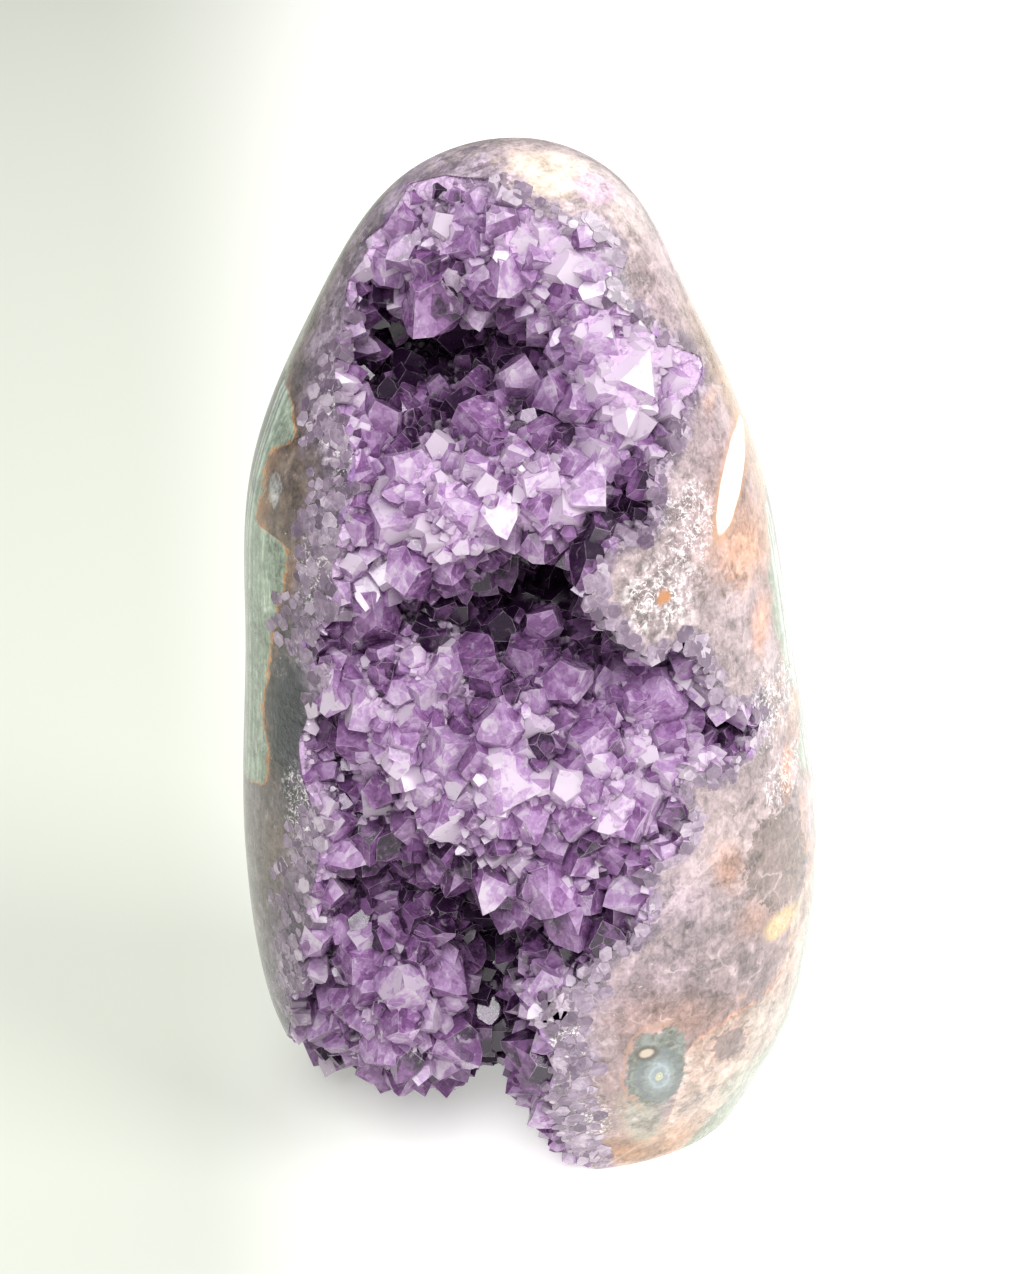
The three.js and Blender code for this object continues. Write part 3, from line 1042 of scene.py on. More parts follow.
def relief_block(name: str, cell: float, face: Callable[[Array, Array], Array],
                 thickness: float) -> bpy.types.Object:
    """Makes a slab whose front is a relief over the pocket.

    Args:
        name: the piece's name.
        cell: the size of the relief's cells.
        face: gives the relief's Y at arrays of x and z, in millimetres.
        thickness: how far the slab reaches behind the relief; less than nothing reaches forwards.

    Returns:
        The closed slab.
    """
    columns, rows = (int(2 * half / cell) for half in POCKET_HALF)
    block = primitive(name, bpy.ops.mesh.primitive_grid_add, x_subdivisions=columns,
                      y_subdivisions=rows, size=2)
    flat = vertices_of(block) * MM
    x, z = (POCKET_MIDDLE[k] + flat[:, k] * POCKET_HALF[k] for k in (0, 1))
    set_vertices(block, np.stack([x, face(x, z), z], 1))
    thicken(thickness)
    return block


def rim_prism(pocket: Pocket, growth: float, name: str) -> bpy.types.Object:
    """Makes the rim's outline a prism through the whole stone.

    Args:
        pocket: whose rim it is.
        growth: how far the outline is moved outwards.
        name: the object's name.

    Returns:
        The closed prism.
    """
    ahead, through = -70.0, 130.0
    ring = pocket.rim()
    ring = ring - growth * inward_of(ring)
    prism = primitive(name, bpy.ops.mesh.primitive_circle_add, vertices=len(ring), radius=1, fill_type="NGON")
    set_vertices(prism, np.stack([ring[:, 0], np.full(len(ring), ahead), ring[:, 1]], 1))
    thicken(through)
    return prism


@dataclass
class PolishedStone:
    """The stone itself: a smooth ground form, open in front on the pocket."""

    lining: LiningMap
    columns: int = 320
    rows: int = 230
    pocket_cell: float = 2.0
    setback: float = 2.2
    cutter_reach: float = -90.0
    smooth_angle: float = math.radians(32)
    front_half: float = 5.0
    away: float = 40.0

    def shell(self, inset: float = 0.0) -> bpy.types.Object:
        """Makes the ground form from a sphere, drawn in at its sides by an inset.

        Args:
            inset: how far, in millimetres.

        Returns:
            The closed form.
        """
        form = self.lining.pocket.form
        shell = primitive("polished_stone", bpy.ops.mesh.primitive_uv_sphere_add, segments=self.columns,
                          ring_count=self.rows, radius=1)
        ball = vertices_of(shell) * MM
        share = np.arccos(np.clip(-ball[:, 2], -1, 1)) / math.pi
        z = form.height / 2 * (1 - np.cos(math.pi * share))
        reach = np.hypot(ball[:, 0], ball[:, 1])
        pole = reach < 1e-5
        turn_x, turn_y = (ball[:, k] / np.where(pole, 1, reach) for k in (0, 1))
        bulge = np.abs(turn_x) ** form.roundness + np.abs(turn_y) ** form.roundness + pole
        bulge = np.where(pole, 0, bulge ** (-1 / form.roundness))
        middle_x, wide, middle_y, deep = form.ring(z)
        x = middle_x + turn_x * bulge * np.maximum(wide - inset, 0)
        y = middle_y + turn_y * bulge * np.maximum(deep - inset, 0)
        set_vertices(shell, np.stack([x, y, z], 1))
        return shell

    def build(self) -> bpy.types.Object:
        """Cuts the pocket out of the form.

        Returns:
            The stone, with each vertex's distance from the rim.
        """
        stone = self.shell()
        grid = self.lining
        hollow = relief_block("pocket_cutter", self.pocket_cell, self.pocket_face, self.cutter_reach)
        boolean(hollow, rim_prism(grid.pocket, 0, "pocket_outline"), "INTERSECT")
        boolean(stone, hollow, "DIFFERENCE")
        choose(stone)
        bpy.ops.object.shade_smooth_by_angle(angle=self.smooth_angle)
        place = vertices_of(stone)
        inside = grid.look(grid.inside, place[:, 0], place[:, 2])
        write_attribute(stone, "from_rim", np.where(place[:, 1] < self.front_half, -inside, self.away))
        return stone

    def pocket_face(self, x: Array, z: Array) -> Array:
        """Gives the Y where the stone begins behind the druse."""
        return self.lining.look(self.lining.face, x, z) + self.setback


# ---------------------------------------------------------------- shaders


def on_two(kind: str, swapped: bool = False) -> Callable[["Number", Any], "Number"]:
    """Makes a method that joins a number and another value with a Math node.

    Args:
        kind: the node's operation.
        swapped: whether the other value comes first.

    Returns:
        The method.
    """
    def method(self: "Number", other: Any) -> "Number":
        """Gives the node's result."""
        return self.shader.math(kind, *((other, self) if swapped else (self, other)))

    return method


class Number:
    """A float socket that Python's own arithmetic works on; least and most choose one of two values."""

    def __init__(self, shader: "Shader", socket: bpy.types.NodeSocket) -> None:
        """Wraps a socket of a shader."""
        self.shader = shader
        self.socket = socket

    __add__ = __radd__ = on_two("ADD")
    __sub__ = on_two("SUBTRACT")
    __rsub__ = on_two("SUBTRACT", swapped=True)
    __mul__ = __rmul__ = on_two("MULTIPLY")
    __truediv__ = on_two("DIVIDE")
    __pow__ = on_two("POWER")
    least = on_two("MINIMUM")
    most = on_two("MAXIMUM")

    def __abs__(self) -> "Number":
        """The value without its sign."""
        return self.shader.math("ABSOLUTE", self)

    def rise(self, start: float, end: float) -> "Number":
        """Runs smoothly from 0 at start to 1 at end.

        Args:
            start: where it is 0.
            end: where it is 1; it may be the smaller value.

        Returns:
            The share.
        """
        node = self.shader.node("ShaderNodeMapRange", {"interpolation_type": "SMOOTHSTEP"},
                                {"Value": self, "From Min": start, "From Max": end})
        return Number(self.shader, node.outputs["Result"])

    def band(self, middle: float, width: float) -> "Number":
        """Gives 1 at a value and falls to 0 within a width on both sides."""
        return abs(self - middle).rise(width, 0.0)


class Shader:
    """One material: a Principled surface, and nodes added by code."""

    def __init__(self, name: str, **sockets: Any) -> None:
        """Starts the material.

        Args:
            name: the material's name.
            sockets: values of the surface's sockets that are the same all over.
        """
        self.material = bpy.data.materials.new(name)
        self.material.use_nodes = True
        self.tree = self.material.node_tree
        self.surface = self.tree.nodes["Principled BSDF"]
        for socket, value in sockets.items():
            self.surface.inputs[socket.replace("_", " ")].default_value = value

    def node(self, kind: str, settings: dict[str, Any] | None = None,
             inputs: dict[Any, Any] | None = None) -> bpy.types.Node:
        """Adds a node.

        Args:
            kind: the node's type.
            settings: its own settings; "stops" are a ramp's places and colours.
            inputs: values or links of its sockets, by name or number.

        Returns:
            The node.
        """
        node = self.tree.nodes.new(kind)
        for key, value in (settings or {}).items():
            if key == "stops":
                ramp = node.color_ramp
                while len(ramp.elements) < len(value):
                    ramp.elements.new(0.5)
                for element, (place, colour) in zip(ramp.elements, value):
                    element.position = place
                    element.color = (*colour, 1)
            else:
                setattr(node, key, value)
        for key, value in (inputs or {}).items():
            self.join(node.inputs[key], value)
        return node

    def join(self, socket: bpy.types.NodeSocket, value: Any) -> None:
        """Sets a socket to a value, or links it.

        Args:
            socket: the socket.
            value: a number, a colour, or what the socket is linked to.
        """
        if isinstance(value, Number):
            self.tree.links.new(value.socket, socket)
        elif isinstance(value, bpy.types.NodeSocket):
            self.tree.links.new(value, socket)
        elif isinstance(value, tuple) and socket.type == "RGBA":
            socket.default_value = (*value, 1)
        else:
            socket.default_value = value

    def math(self, operation: str, *values: Any) -> Number:
        """Adds a Math node on values and sockets."""
        node = self.node("ShaderNodeMath", {"operation": operation}, dict(enumerate(values)))
        return Number(self, node.outputs[0])

    def feed(self, socket: str, value: Any) -> None:
        """Links or sets one of the surface's sockets."""
        self.join(self.surface.inputs[socket], value)

    def place(self) -> bpy.types.NodeSocket:
        """Gives the Object coordinates."""
        return self.node("ShaderNodeTexCoord").outputs["Object"]

    def axes(self) -> tuple[Number, Number, Number]:
        """Gives the Object coordinates in millimetres.

        Returns:
            X, Y and Z.
        """
        split = self.node("ShaderNodeSeparateXYZ", None, {0: self.place()})
        x, y, z = (Number(self, output) * (1 / MM) for output in split.outputs)
        return x, y, z

    def vector(self, *values: Any) -> bpy.types.NodeSocket:
        """Joins three numbers, in millimetres, to a place for a texture."""
        parts = {k: value * MM for k, value in enumerate(values)}
        return self.node("ShaderNodeCombineXYZ", None, parts).outputs[0]

    def attribute(self, name: str) -> Number:
        """Gives a number stored on the mesh."""
        return Number(self, self.node("ShaderNodeAttribute", {"attribute_name": name}).outputs["Fac"])

    def noise(self, size: float, detail: float = 3.0, distortion: float = 0.0,
              stretch: tuple[float, float, float] = (1, 1, 1),
              at: bpy.types.NodeSocket | None = None) -> Number:
        """Gives cloudy noise of about -1 to 1.

        Args:
            size: the clouds' size in millimetres.
            detail: how many finer layers it has.
            distortion: how far it is pulled about.
            stretch: how many times as long it is along each axis.
            at: the place, if it isn't the Object coordinates.

        Returns:
            The value.
        """
        scale = tuple(1 / (times * size * MM) for times in stretch)
        mapping = self.node("ShaderNodeMapping", None, {"Vector": at or self.place(), "Scale": scale})
        node = self.node("ShaderNodeTexNoise", None, {
            "Vector": mapping.outputs[0], "Scale": 1.0, "Detail": detail, "Distortion": distortion})
        return (Number(self, node.outputs[0]) - 0.5) * 4.0

    def cells(self, size: float, feature: str = "F1", output: str = "Distance",
              at: bpy.types.NodeSocket | None = None) -> Number:
        """Gives a cell pattern, such as the distance to the cells' middles or edges.

        Args:
            size: the cells' size in millimetres.
            feature: which distance it measures.
            output: which of the texture's results is read.
            at: the place, if it isn't the Object coordinates.

        Returns:
            The value.
        """
        node = self.node("ShaderNodeTexVoronoi", {"feature": feature},
                         {"Vector": at or self.place(), "Scale": 1 / (size * MM)})
        return Number(self, node.outputs[output])

    def mosaic(self, size: float, strength: float, at: bpy.types.NodeSocket | None = None) -> Number:
        """Gives each cell of a pattern one number, up to half the strength above or below 0."""
        return (self.cells(size, output="Color", at=at) - 0.5) * strength

    def curve(self, value: Number, knots: Sequence[tuple[float, float]], reach: float = 150.0,
              height: float = 50.0) -> Number:
        """Reads a drawn line.

        Args:
            value: where it is read, from 0 to reach.
            knots: places and heights of the line.
            reach: the line's length.
            height: its greatest height.

        Returns:
            The line's height there.
        """
        node = self.node("ShaderNodeFloatCurve", None, {"Value": value / reach})
        line = node.mapping.curves[0]
        while len(line.points) < len(knots):
            line.points.new(0.5, 0.5)
        for point, (place, level) in zip(line.points, knots):
            point.location = (place / reach, level / height)
        node.mapping.update()
        return Number(self, node.outputs[0]) * height

    def mix(self, first: Any, second: Any, share: Any) -> bpy.types.NodeSocket:
        """Blends two colours or sockets: the first where the share is 0, the second where it is 1."""
        return self.node("ShaderNodeMix", {"data_type": "RGBA"}, {0: share, 6: first, 7: second}).outputs[2]

    def ramp(self, value: Number, stops: Sequence[tuple[float, Colour]]) -> bpy.types.NodeSocket:
        """Colours a value by stops."""
        return self.node("ShaderNodeValToRGB", {"stops": stops}, {0: value}).outputs[0]

    def bump(self, height: Number, distance: float) -> None:
        """Raises the surface by a height, where 1 is a distance in millimetres."""
        node = self.node("ShaderNodeBump", None, {"Height": height, "Distance": distance * MM})
        self.feed("Normal", node.outputs[0])


class Paint:
    """Colours laid one over the other."""

    def __init__(self, shader: Shader, ground: Any) -> None:
        """Starts with the ground colour."""
        self.shader = shader
        self.colour = ground

    def lay(self, colour: Any, share: Any) -> "Paint":
        """Lays a colour where its share says."""
        self.colour = self.shader.mix(self.colour, colour, share)
        return self


@dataclass(frozen=True)
class AmethystFinish:
    """Clear to cloudy purple quartz with flat facets of random brightness, veils and growth lines; painted
    shade darkens each point towards its root and a painted highlight runs along every facet's edge.
    """

    white: Colour = (0.94, 0.81, 0.96)
    pale: Colour = (0.66, 0.43, 0.74)
    middle: Colour = (0.34, 0.15, 0.39)
    dark: Colour = (0.035, 0.012, 0.045)
    clearness: float = 0.5

    def make(self, name: str) -> bpy.types.Material:
        """Makes the material.

        Args:
            name: the material's name.

        Returns:
            The material.
        """
        shader = Shader(name, Transmission_Weight=self.clearness, IOR=QUARTZ_IOR)
        facet, growth, tone = (shader.attribute(key) for key in ("facet", "growth", "tone"))
        x, y, z = shader.axes()
        inner = shader.vector(x + facet * 37, y + tone * 53, z)
        # Painted shade: darker towards each point's root, among its neighbours; each facet's random
        # brightness also stands partly for its own reflection.
        zoning_and_shade = tone + growth.rise(0.75, 0.3) * 0.25 + (facet - 0.5) * 0.45
        zoning_and_shade = zoning_and_shade + shader.mosaic(2.2, 0.45, inner) + shader.mosaic(1.0, 0.2, inner)
        zoning_and_shade = zoning_and_shade + shader.noise(2.5, 4, 1.0) * 0.12 + shader.noise(0.9, 3, 1.0) * 0.10
        stops = ((0.0, self.white), (0.2, self.pale), (0.5, self.middle), (0.9, self.dark))
        purple = Paint(shader, shader.ramp(zoning_and_shade, stops))
        # Milky veils, partly painted sparkle, faded out where the tone paints shade.
        veils_and_sparkle = shader.noise(1.5, 4, 1.0).rise(0.25, 1.1) * tone.rise(1.0, 0.4)
        purple.lay(self.white, veils_and_sparkle * 0.7)
        # Painted highlight along the border of every facet.
        purple.lay(self.white, shader.attribute("edge").rise(0.35, 1.0) * (0.35 + shader.noise(1.5) * 0.5))
        shader.feed("Base Color", purple.colour)
        shader.feed("Roughness", 0.14 + shader.noise(2.5).rise(0.0, 1.0) * 0.15)
        lines = shader.noise(1.0, 2, at=shader.vector(growth * 14, facet * 30, tone * 90))
        shader.bump(lines, 0.001)
        return shader.material


@dataclass(frozen=True)
class DruseFinish:
    """Sugary quartz between the points, coloured by painted shade and light: near black in the hollows, pale
    lilac on the bulges.
    """

    deep: Colour = (0.02, 0.008, 0.03)
    light: Colour = (0.60, 0.42, 0.64)

    def make(self, name: str) -> bpy.types.Material:
        """Makes the material.

        Args:
            name: the material's name.

        Returns:
            The material.
        """
        shader = Shader(name, IOR=QUARTZ_IOR)
        tone = shader.attribute("tone") + shader.noise(2.5, 4) * 0.15
        tone = tone + shader.mosaic(1.4, 0.5) + shader.mosaic(0.7, 0.3)
        # The deep colour is painted shade and the light colour painted light, mixed by the tone.
        shader.feed("Base Color", shader.mix(self.light, self.deep, tone.rise(0.1, 0.8)))
        shader.feed("Roughness", 0.2 + shader.noise(0.9) * 0.1)
        shader.bump(shader.cells(1.4) * -1.0 + shader.noise(0.55) * 0.2, 0.6)
        return shader.material


@dataclass(frozen=True)
class Patch:
    """A ragged patch of another colour in the polished front: an ellipse, in millimetres."""

    x: float
    z: float
    wide: float
    high: float
    turn: float
    colour: Colour
    strength: float
    edge: float = 0.6
    outline: Colour | None = None


@dataclass(frozen=True)
class StoneFinish:
    """Polished milky quartz and agate: grey and pink quartz, rust lines and a celadon rind."""

    left_rind: tuple[tuple[float, float], ...] = (
        (0, 48), (50, 47), (58, 43), (62, 38.4), (66, 37.9), (72, 38.5), (81, 37), (87, 36), (93, 34.3),
        (98, 34.2), (99.5, 38.3), (103, 37.6), (107, 37.3), (110, 35.8), (113, 32.8), (118, 34.6), (124, 37),
        (150, 37),
    )
    right_rind: tuple[tuple[float, float], ...] = (
        (0, 22), (6, 26.5), (12, 31), (16, 33.5), (20, 36.5), (25, 38.8), (36, 40.8), (52, 42), (58, 41),
        (64, 38.4), (67.5, 39.3), (72, 38.3), (77, 36.3), (85, 34.2), (92, 33.3), (98, 32.8), (110, 33),
        (120, 33), (150, 34),
    )
    crackled: tuple[tuple[float, float, float, float], ...] = (
        (-29.5, 95, 3, 6), (-26.5, 115, 3, 5), (33, 73, 3.5, 6), (36, 62.5, 3.5, 4), (21, 103, 4, 6),
        (8.5, 13, 3.5, 5), (5, 27, 3, 6), (-33, 60, 2.5, 6), (17, 94, 5.5, 5.5), (36, 74, 2.5, 5),
    )
    hem: tuple[tuple[float, float], ...] = (
        (0, 2), (10, 4.5), (19, 8), (21.6, 20), (23, 26), (27, 28.2), (30, 29.4), (33, 30), (35.8, 31.2),
        (37.3, 33.5), (38.4, 43), (50, 45),
    )
    # Banding along the outline, its bright stops partly painted reflection.
    outline_lines_and_sheen: tuple[tuple[float, Colour], ...] = (
        (0.0, (0.02, 0.03, 0.025)), (0.2, (0.03, 0.04, 0.035)), (0.24, (0.52, 0.57, 0.52)),
        (0.31, (0.12, 0.16, 0.13)), (0.38, (0.42, 0.48, 0.42)), (0.44, (0.07, 0.10, 0.08)),
        (0.52, (0.42, 0.48, 0.42)), (0.62, (0.22, 0.28, 0.22)), (0.72, (0.15, 0.20, 0.155)),
        (0.8, (0.30, 0.36, 0.29)),
    )
    hem_reach: float = 50.0
    star_place: tuple[float, float] = (17.3, 93.7)
    # Where the painted window reflection lies.
    window_reflection_place: tuple[float, float] = (27.1, 106.4)
    eye_place: tuple[float, float] = (17.9, 22.4)
    cloud_place: tuple[float, float] = (-35.6, 104.8)
    inky_place: tuple[float, float] = (-34.5, 73)
    patches: tuple[Patch, ...] = (
        Patch(-35.5, 40, 4, 8, 0, (0.06, 0.05, 0.053), 0.8, 0.9),
        Patch(12, 141, 5, 5, 0, (0.46, 0.38, 0.37), 0.7, 0.8),
        Patch(-28, 119, 4.5, 9, 0, (0.07, 0.06, 0.06), 0.7, 0.9),
        Patch(-33.5, 72, 5.0, 12, 0, (0.028, 0.030, 0.036), 0.95, 0.7),
        Patch(-30.5, 49, 4, 8, 0, (0.26, 0.20, 0.26), 0.7, 0.9),
        Patch(-37, 50, 3, 8, 0, (0.15, 0.115, 0.085), 0.6, 0.9),
        Patch(-30.5, 84, 2.5, 5, 0, (0.22, 0.18, 0.24), 0.6, 0.8),
        # Painted reflection: the cream patch at the top of the crown.
        Patch(2.5, 147, 8, 2.8, 0, (0.66, 0.55, 0.46), 0.9, 0.3),
        Patch(8, 145, 3, 1.6, -20, (0.62, 0.45, 0.58), 0.7, 0.4),
        Patch(24, 45, 7, 4, 10, (0.17, 0.14, 0.145), 0.5, 0.9),
        Patch(19, 50, 5, 4, 0, (0.42, 0.33, 0.38), 0.7, 0.9),
        Patch(30, 57, 6, 5, 0, (0.40, 0.32, 0.31), 0.5, 0.9),
        Patch(16, 37, 9, 5, 20, (0.30, 0.23, 0.27), 0.5, 0.9),
        Patch(27, 36, 7, 5, 0, (0.17, 0.13, 0.135), 0.6, 0.9),
        Patch(20, 31, 8, 3.5, -15, (0.30, 0.18, 0.14), 0.65, 0.9),
        Patch(12, 16, 4, 9, 0, (0.20, 0.13, 0.115), 0.5, 0.9),
        Patch(29.5, 97, 3.5, 4.5, 0, (0.50, 0.27, 0.17), 0.75, 0.9),
        Patch(31.8, 86, 1.4, 3.4, 0, (0.48, 0.24, 0.15), 0.6, 0.6),
        Patch(36.4, 62.7, 0.9, 3.8, 0, (0.36, 0.17, 0.10), 0.7, 0.4),
        Patch(27.5, 53, 2.0, 3.2, 20, (0.46, 0.24, 0.15), 0.55, 0.8),
        Patch(32, 44, 2.6, 2.6, 0, (0.40, 0.22, 0.14), 0.4, 0.9),
        Patch(14, 4, 12, 4.6, 0, (0.30, 0.165, 0.09), 0.9, 0.9),
        Patch(26.5, 103, 3.4, 7.0, -12, (0.40, 0.24, 0.17), 0.4, 0.9),
        Patch(24, 118, 1.0, 2.2, 0, (0.46, 0.24, 0.13), 0.4, 0.8),
        Patch(35.2, 51.0, 4.4, 7.4, 14, (0.165, 0.125, 0.115), 0.85, 0.2, (0.07, 0.045, 0.03)),
        Patch(36.0, 41.0, 2.6, 2.0, 20, (0.50, 0.38, 0.22), 0.85, 0.3, (0.44, 0.28, 0.12)),
        Patch(31.6, 13.4, 3.2, 5.4, -35, (0.24, 0.26, 0.20), 0.75, 0.5),
        Patch(33.6, 24.5, 3.4, 4.6, -25, (0.40, 0.34, 0.30), 0.8, 0.3, (0.56, 0.44, 0.38)),
        Patch(28.8, 23.8, 3.0, 3.2, 20, (0.17, 0.125, 0.12), 0.9, 0.3, (0.50, 0.32, 0.26)),
        Patch(16.0, 12.0, 2.8, 7.0, 16, (0.31, 0.31, 0.25), 0.7, 0.4, (0.42, 0.25, 0.18)),
        Patch(24.0, 7.5, 5.0, 2.0, 35, (0.44, 0.28, 0.21), 0.6, 0.7),
    )

    def make(self, name: str) -> bpy.types.Material:
        """Makes the material.

        Args:
            name: the material's name.

        Returns:
            The material.
        """
        shader = Shader(name, IOR=QUARTZ_IOR, Coat_Weight=0.4, Coat_Roughness=0.1)
        x, y, z = shader.axes()
        wobble = shader.noise(4) * 0.6 + shader.noise(0.9) * 0.3
        left = x + shader.curve(z, self.left_rind) + wobble
        right = shader.curve(z, self.right_rind) - x + wobble
        behind = y.rise(-9, 8) * 30 + y.rise(4, 26) * 40
        front = y.rise(-2, -6)
        warped = shader.vector(x + shader.noise(1.5, 4) * 1.0, y * 0.6, z + shader.noise(1.5, 4) * 1.0)
        paint = Paint(shader, self.quartz(shader, x, z))
        self.agate(shader, paint, left, right, x, z)
        ragged = wobble * 0.35 + shader.noise(0.9, 3, 1.0) * 0.25
        under = shader.curve(x, self.hem, self.hem_reach) - z + wobble * 1.1
        self.chalcedony(shader, paint, under, front)
        for patch in self.patches:
            reach = self.blob(x, z, (patch.x, patch.z), patch.wide, patch.high, patch.turn)
            reach = reach + ragged * (0.5 + patch.edge)
            paint.lay(patch.colour, reach.rise(1.0 + patch.edge, 1.0 - patch.edge) * front * patch.strength)
            if patch.outline:
                broken = shader.noise(4).rise(-0.5, 0.4)
                paint.lay(patch.outline, reach.band(1.0, 0.10) * broken * front * 0.8)
        self.rim(shader, paint, x, z, warped)
        self.rind(shader, paint, left - behind, right - behind, z)
        # Lines along the outline, partly painted reflection.
        self.outline_lines(shader, paint, left.least(right).rise(0.15, -0.15) * y.rise(1, -2), x, z)
        self.mottle(shader, paint, left.least(right).rise(0.5, 2.0) * x.rise(-20, -5))
        self.crackle(shader, paint, x, z, front)
        self.star(shader, paint, x - self.star_place[0], z - self.star_place[1], front)
        # Painted reflection of a window.
        self.window_reflection(paint, x, z, front, wobble)
        self.eye(shader, paint, x, z, front, ragged)
        shader.feed("Base Color", paint.colour)
        shader.feed("Roughness", 0.27 + shader.noise(4) * 0.06)
        near = shader.attribute("from_rim").rise(7, 1)
        shader.bump(shader.noise(0.9) * near + shader.noise(0.9, 3, 0, (1, 1, 3)) * 0.15, 0.12)
        return shader.material

    def chalcedony(self, shader: Shader, paint: Paint, under: Number, front: Number) -> None:
        """Peach chalcedony along the lower right edge, salmon where it begins.

        Args:
            shader: the material that it belongs to.
            paint: the colours that it is laid over.
            under: how far below its upper edge a place lies.
            front: 1 on the front, 0 elsewhere.
        """
        clouds = shader.noise(2.5, 4, 1.0).rise(-0.8, 0.9)
        peach = shader.mix((0.30, 0.22, 0.175), (0.48, 0.38, 0.33), clouds)
        paint.lay(peach, under.rise(-0.2, 0.4) * front * 0.85)
        paint.lay((0.55, 0.43, 0.38), under.band(1.3, 0.6) * shader.noise(2.5).rise(-0.8, 0.2) * front * 0.5)
        paint.lay((0.50, 0.27, 0.19), under.band(0.2, 0.7) * shader.noise(4).rise(-0.9, 0.1) * front * 0.85)
        paint.lay((0.38, 0.24, 0.19), under.band(-1.6, 2.0) * shader.noise(4).rise(-0.3, 0.6) * front * 0.6)

    def quartz(self, shader: Shader, x: Number, z: Number) -> bpy.types.NodeSocket:
        """Milky quartz: dark and grey on the left, pinkish and pale on the right.

        Args:
            shader: the material that it belongs to.
            x: places across, in millimetres.
            z: heights above the base, in millimetres.

        Returns:
            The colour.
        """
        clouds = shader.noise(6.5, 4)
        east = (x + clouds * 3).rise(-24, 0)
        paint = Paint(shader, (0.075, 0.065, 0.07))
        paint.lay((0.19, 0.16, 0.17), (z + clouds * 6).rise(66, 50))
        paint.lay((0.24, 0.205, 0.20), (z + clouds * 5).rise(112, 128))
        paint.lay((0.31, 0.245, 0.255), east)
        paint.lay((0.34, 0.265, 0.285), east * (z + clouds * 4).rise(104, 120))
        paint.lay((0.235, 0.18, 0.185), east * (z + clouds * 5).rise(50, 36))
        # Paler along the top, spreading the painted reflection of the crown.
        paint.lay((0.46, 0.38, 0.38), (z + clouds * 2).rise(138, 147) * 0.8)
        paint.lay((0.20, 0.155, 0.155), shader.noise(6.5, 4).rise(0.1, 1.0) * 0.6)
        paint.lay((0.42, 0.34, 0.36), shader.noise(4, 4, 1.0).rise(0.1, 1.0) * 0.5)
        return paint.colour

    def mottle(self, shader: Shader, paint: Paint, seamed: Number) -> None:
        """Clouds, grains and upright fibres that lighten and darken whatever is there, and pale seams.

        Args:
            shader: the material that it belongs to.
            paint: the colours that it is laid over.
            seamed: how strong the seams are, from 0 to 1.
        """
        x, y, z = shader.axes()
        bent = shader.vector(x + shader.noise(4) * 2.0, y * 0.7, z + shader.noise(4) * 2.0)
        blocks, knobs = shader.mosaic(6.0, 0.40, bent), shader.mosaic(2.0, 0.45, bent)
        clouds = shader.noise(4, 4, 1.0) * 0.40
        grains = shader.noise(0.9, 3, 1.0) * 0.38
        fibres = shader.noise(0.5, 3, 0.6, (1, 1, 4)) * 0.15
        light = (1.0 + blocks + knobs + clouds + grains + fibres).least(1.7).most(0.25)
        inputs = {"Color": paint.colour, "Value": light, "Saturation": 1.1}
        paint.colour = shader.node("ShaderNodeHueSaturation", None, inputs).outputs[0]
        seams = shader.cells(6.0, "DISTANCE_TO_EDGE", at=bent).rise(0.05, 0.0)
        paint.lay((0.62, 0.50, 0.50), seams * shader.noise(4).rise(0.0, 0.6) * seamed * 0.5)
        paint.lay((0.86, 0.80, 0.80), shader.noise(0.55, 3, 1.0).rise(0.75, 1.2) * 0.6)

    def crackle(self, shader: Shader, paint: Paint, x: Number, z: Number, front: Number) -> None:
        """White cracks and sparks where the quartz is shattered.

        Args:
            shader: the material that it belongs to.
            paint: the colours that it is laid over.
            x: places across, in millimetres.
            z: heights above the base, in millimetres.
            front: 1 on the front, 0 elsewhere.
        """
        crazed = shader.noise(6.5).rise(0.4, 1.0) * 0.3
        clouds = shader.noise(2.5, 4, 1.0) * 0.45
        for *middle, wide, high in self.crackled:
            patch = self.blob(x, z, middle, wide, high) + clouds
            crazed = crazed.most(patch.rise(1.3, 0.4) * front)
        cracks = abs(shader.noise(1.5, 4, 1.0)).rise(0.24, 0.0) * shader.noise(0.9).rise(-0.5, 0.5)
        sparks = shader.noise(0.55, 3, 1.0).rise(0.25, 0.8)
        paint.lay((0.11, 0.09, 0.09), crazed * shader.noise(1.5, 4, 1.0).rise(0.1, 0.9) * 0.5)
        paint.lay((0.92, 0.88, 0.88), crazed * cracks.most(sparks) * 0.85)

    def agate(self, shader: Shader, paint: Paint, left: Number, right: Number, x: Number,
              z: Number) -> None:
        """Brown agate inside the rind, with rust at its border.

        Args:
            shader: the material that it belongs to.
            paint: the colours that it is laid over.
            left: how far inside the left rind a place lies.
            right: how far inside the right rind it lies.
            x: places across, in millimetres.
            z: heights above the base, in millimetres.
        """
        up = z.rise(57, 66)
        wide = 3.2 + (z + shader.noise(6.5) * 2).rise(92, 99) * 5.0
        clouds = shader.noise(2.5, 4).rise(-0.7, 0.9)
        brown = shader.mix((0.09, 0.065, 0.055), (0.19, 0.145, 0.115), clouds)
        paint.lay(brown, (left / wide).rise(1.2, 0.7) * up * 0.9)
        cloud = self.blob(x, z, self.cloud_place, 1.0, 2.2, -12) + shader.noise(0.9) * 0.5
        paint.lay((0.62, 0.64, 0.64), cloud.rise(1.2, 0.4) * 0.6)
        paint.lay((0.30, 0.16, 0.08), left.rise(2.6, 0.2) * up * shader.noise(4).rise(-0.3, 0.8) * 0.8)
        low_right = right.rise(9.0, 1.5) * z.rise(64, 52)
        paint.lay((0.27, 0.19, 0.155), low_right * shader.noise(6.5, 4).rise(-0.5, 0.5) * 0.6)
        paint.lay((0.45, 0.25, 0.16), right.rise(6.0, 1.0) * shader.noise(6.5).rise(-0.1, 0.8) * 0.5)
        paint.lay((0.15, 0.10, 0.065), right.band(0.3, 0.4) * z.rise(108, 96) * 0.6)

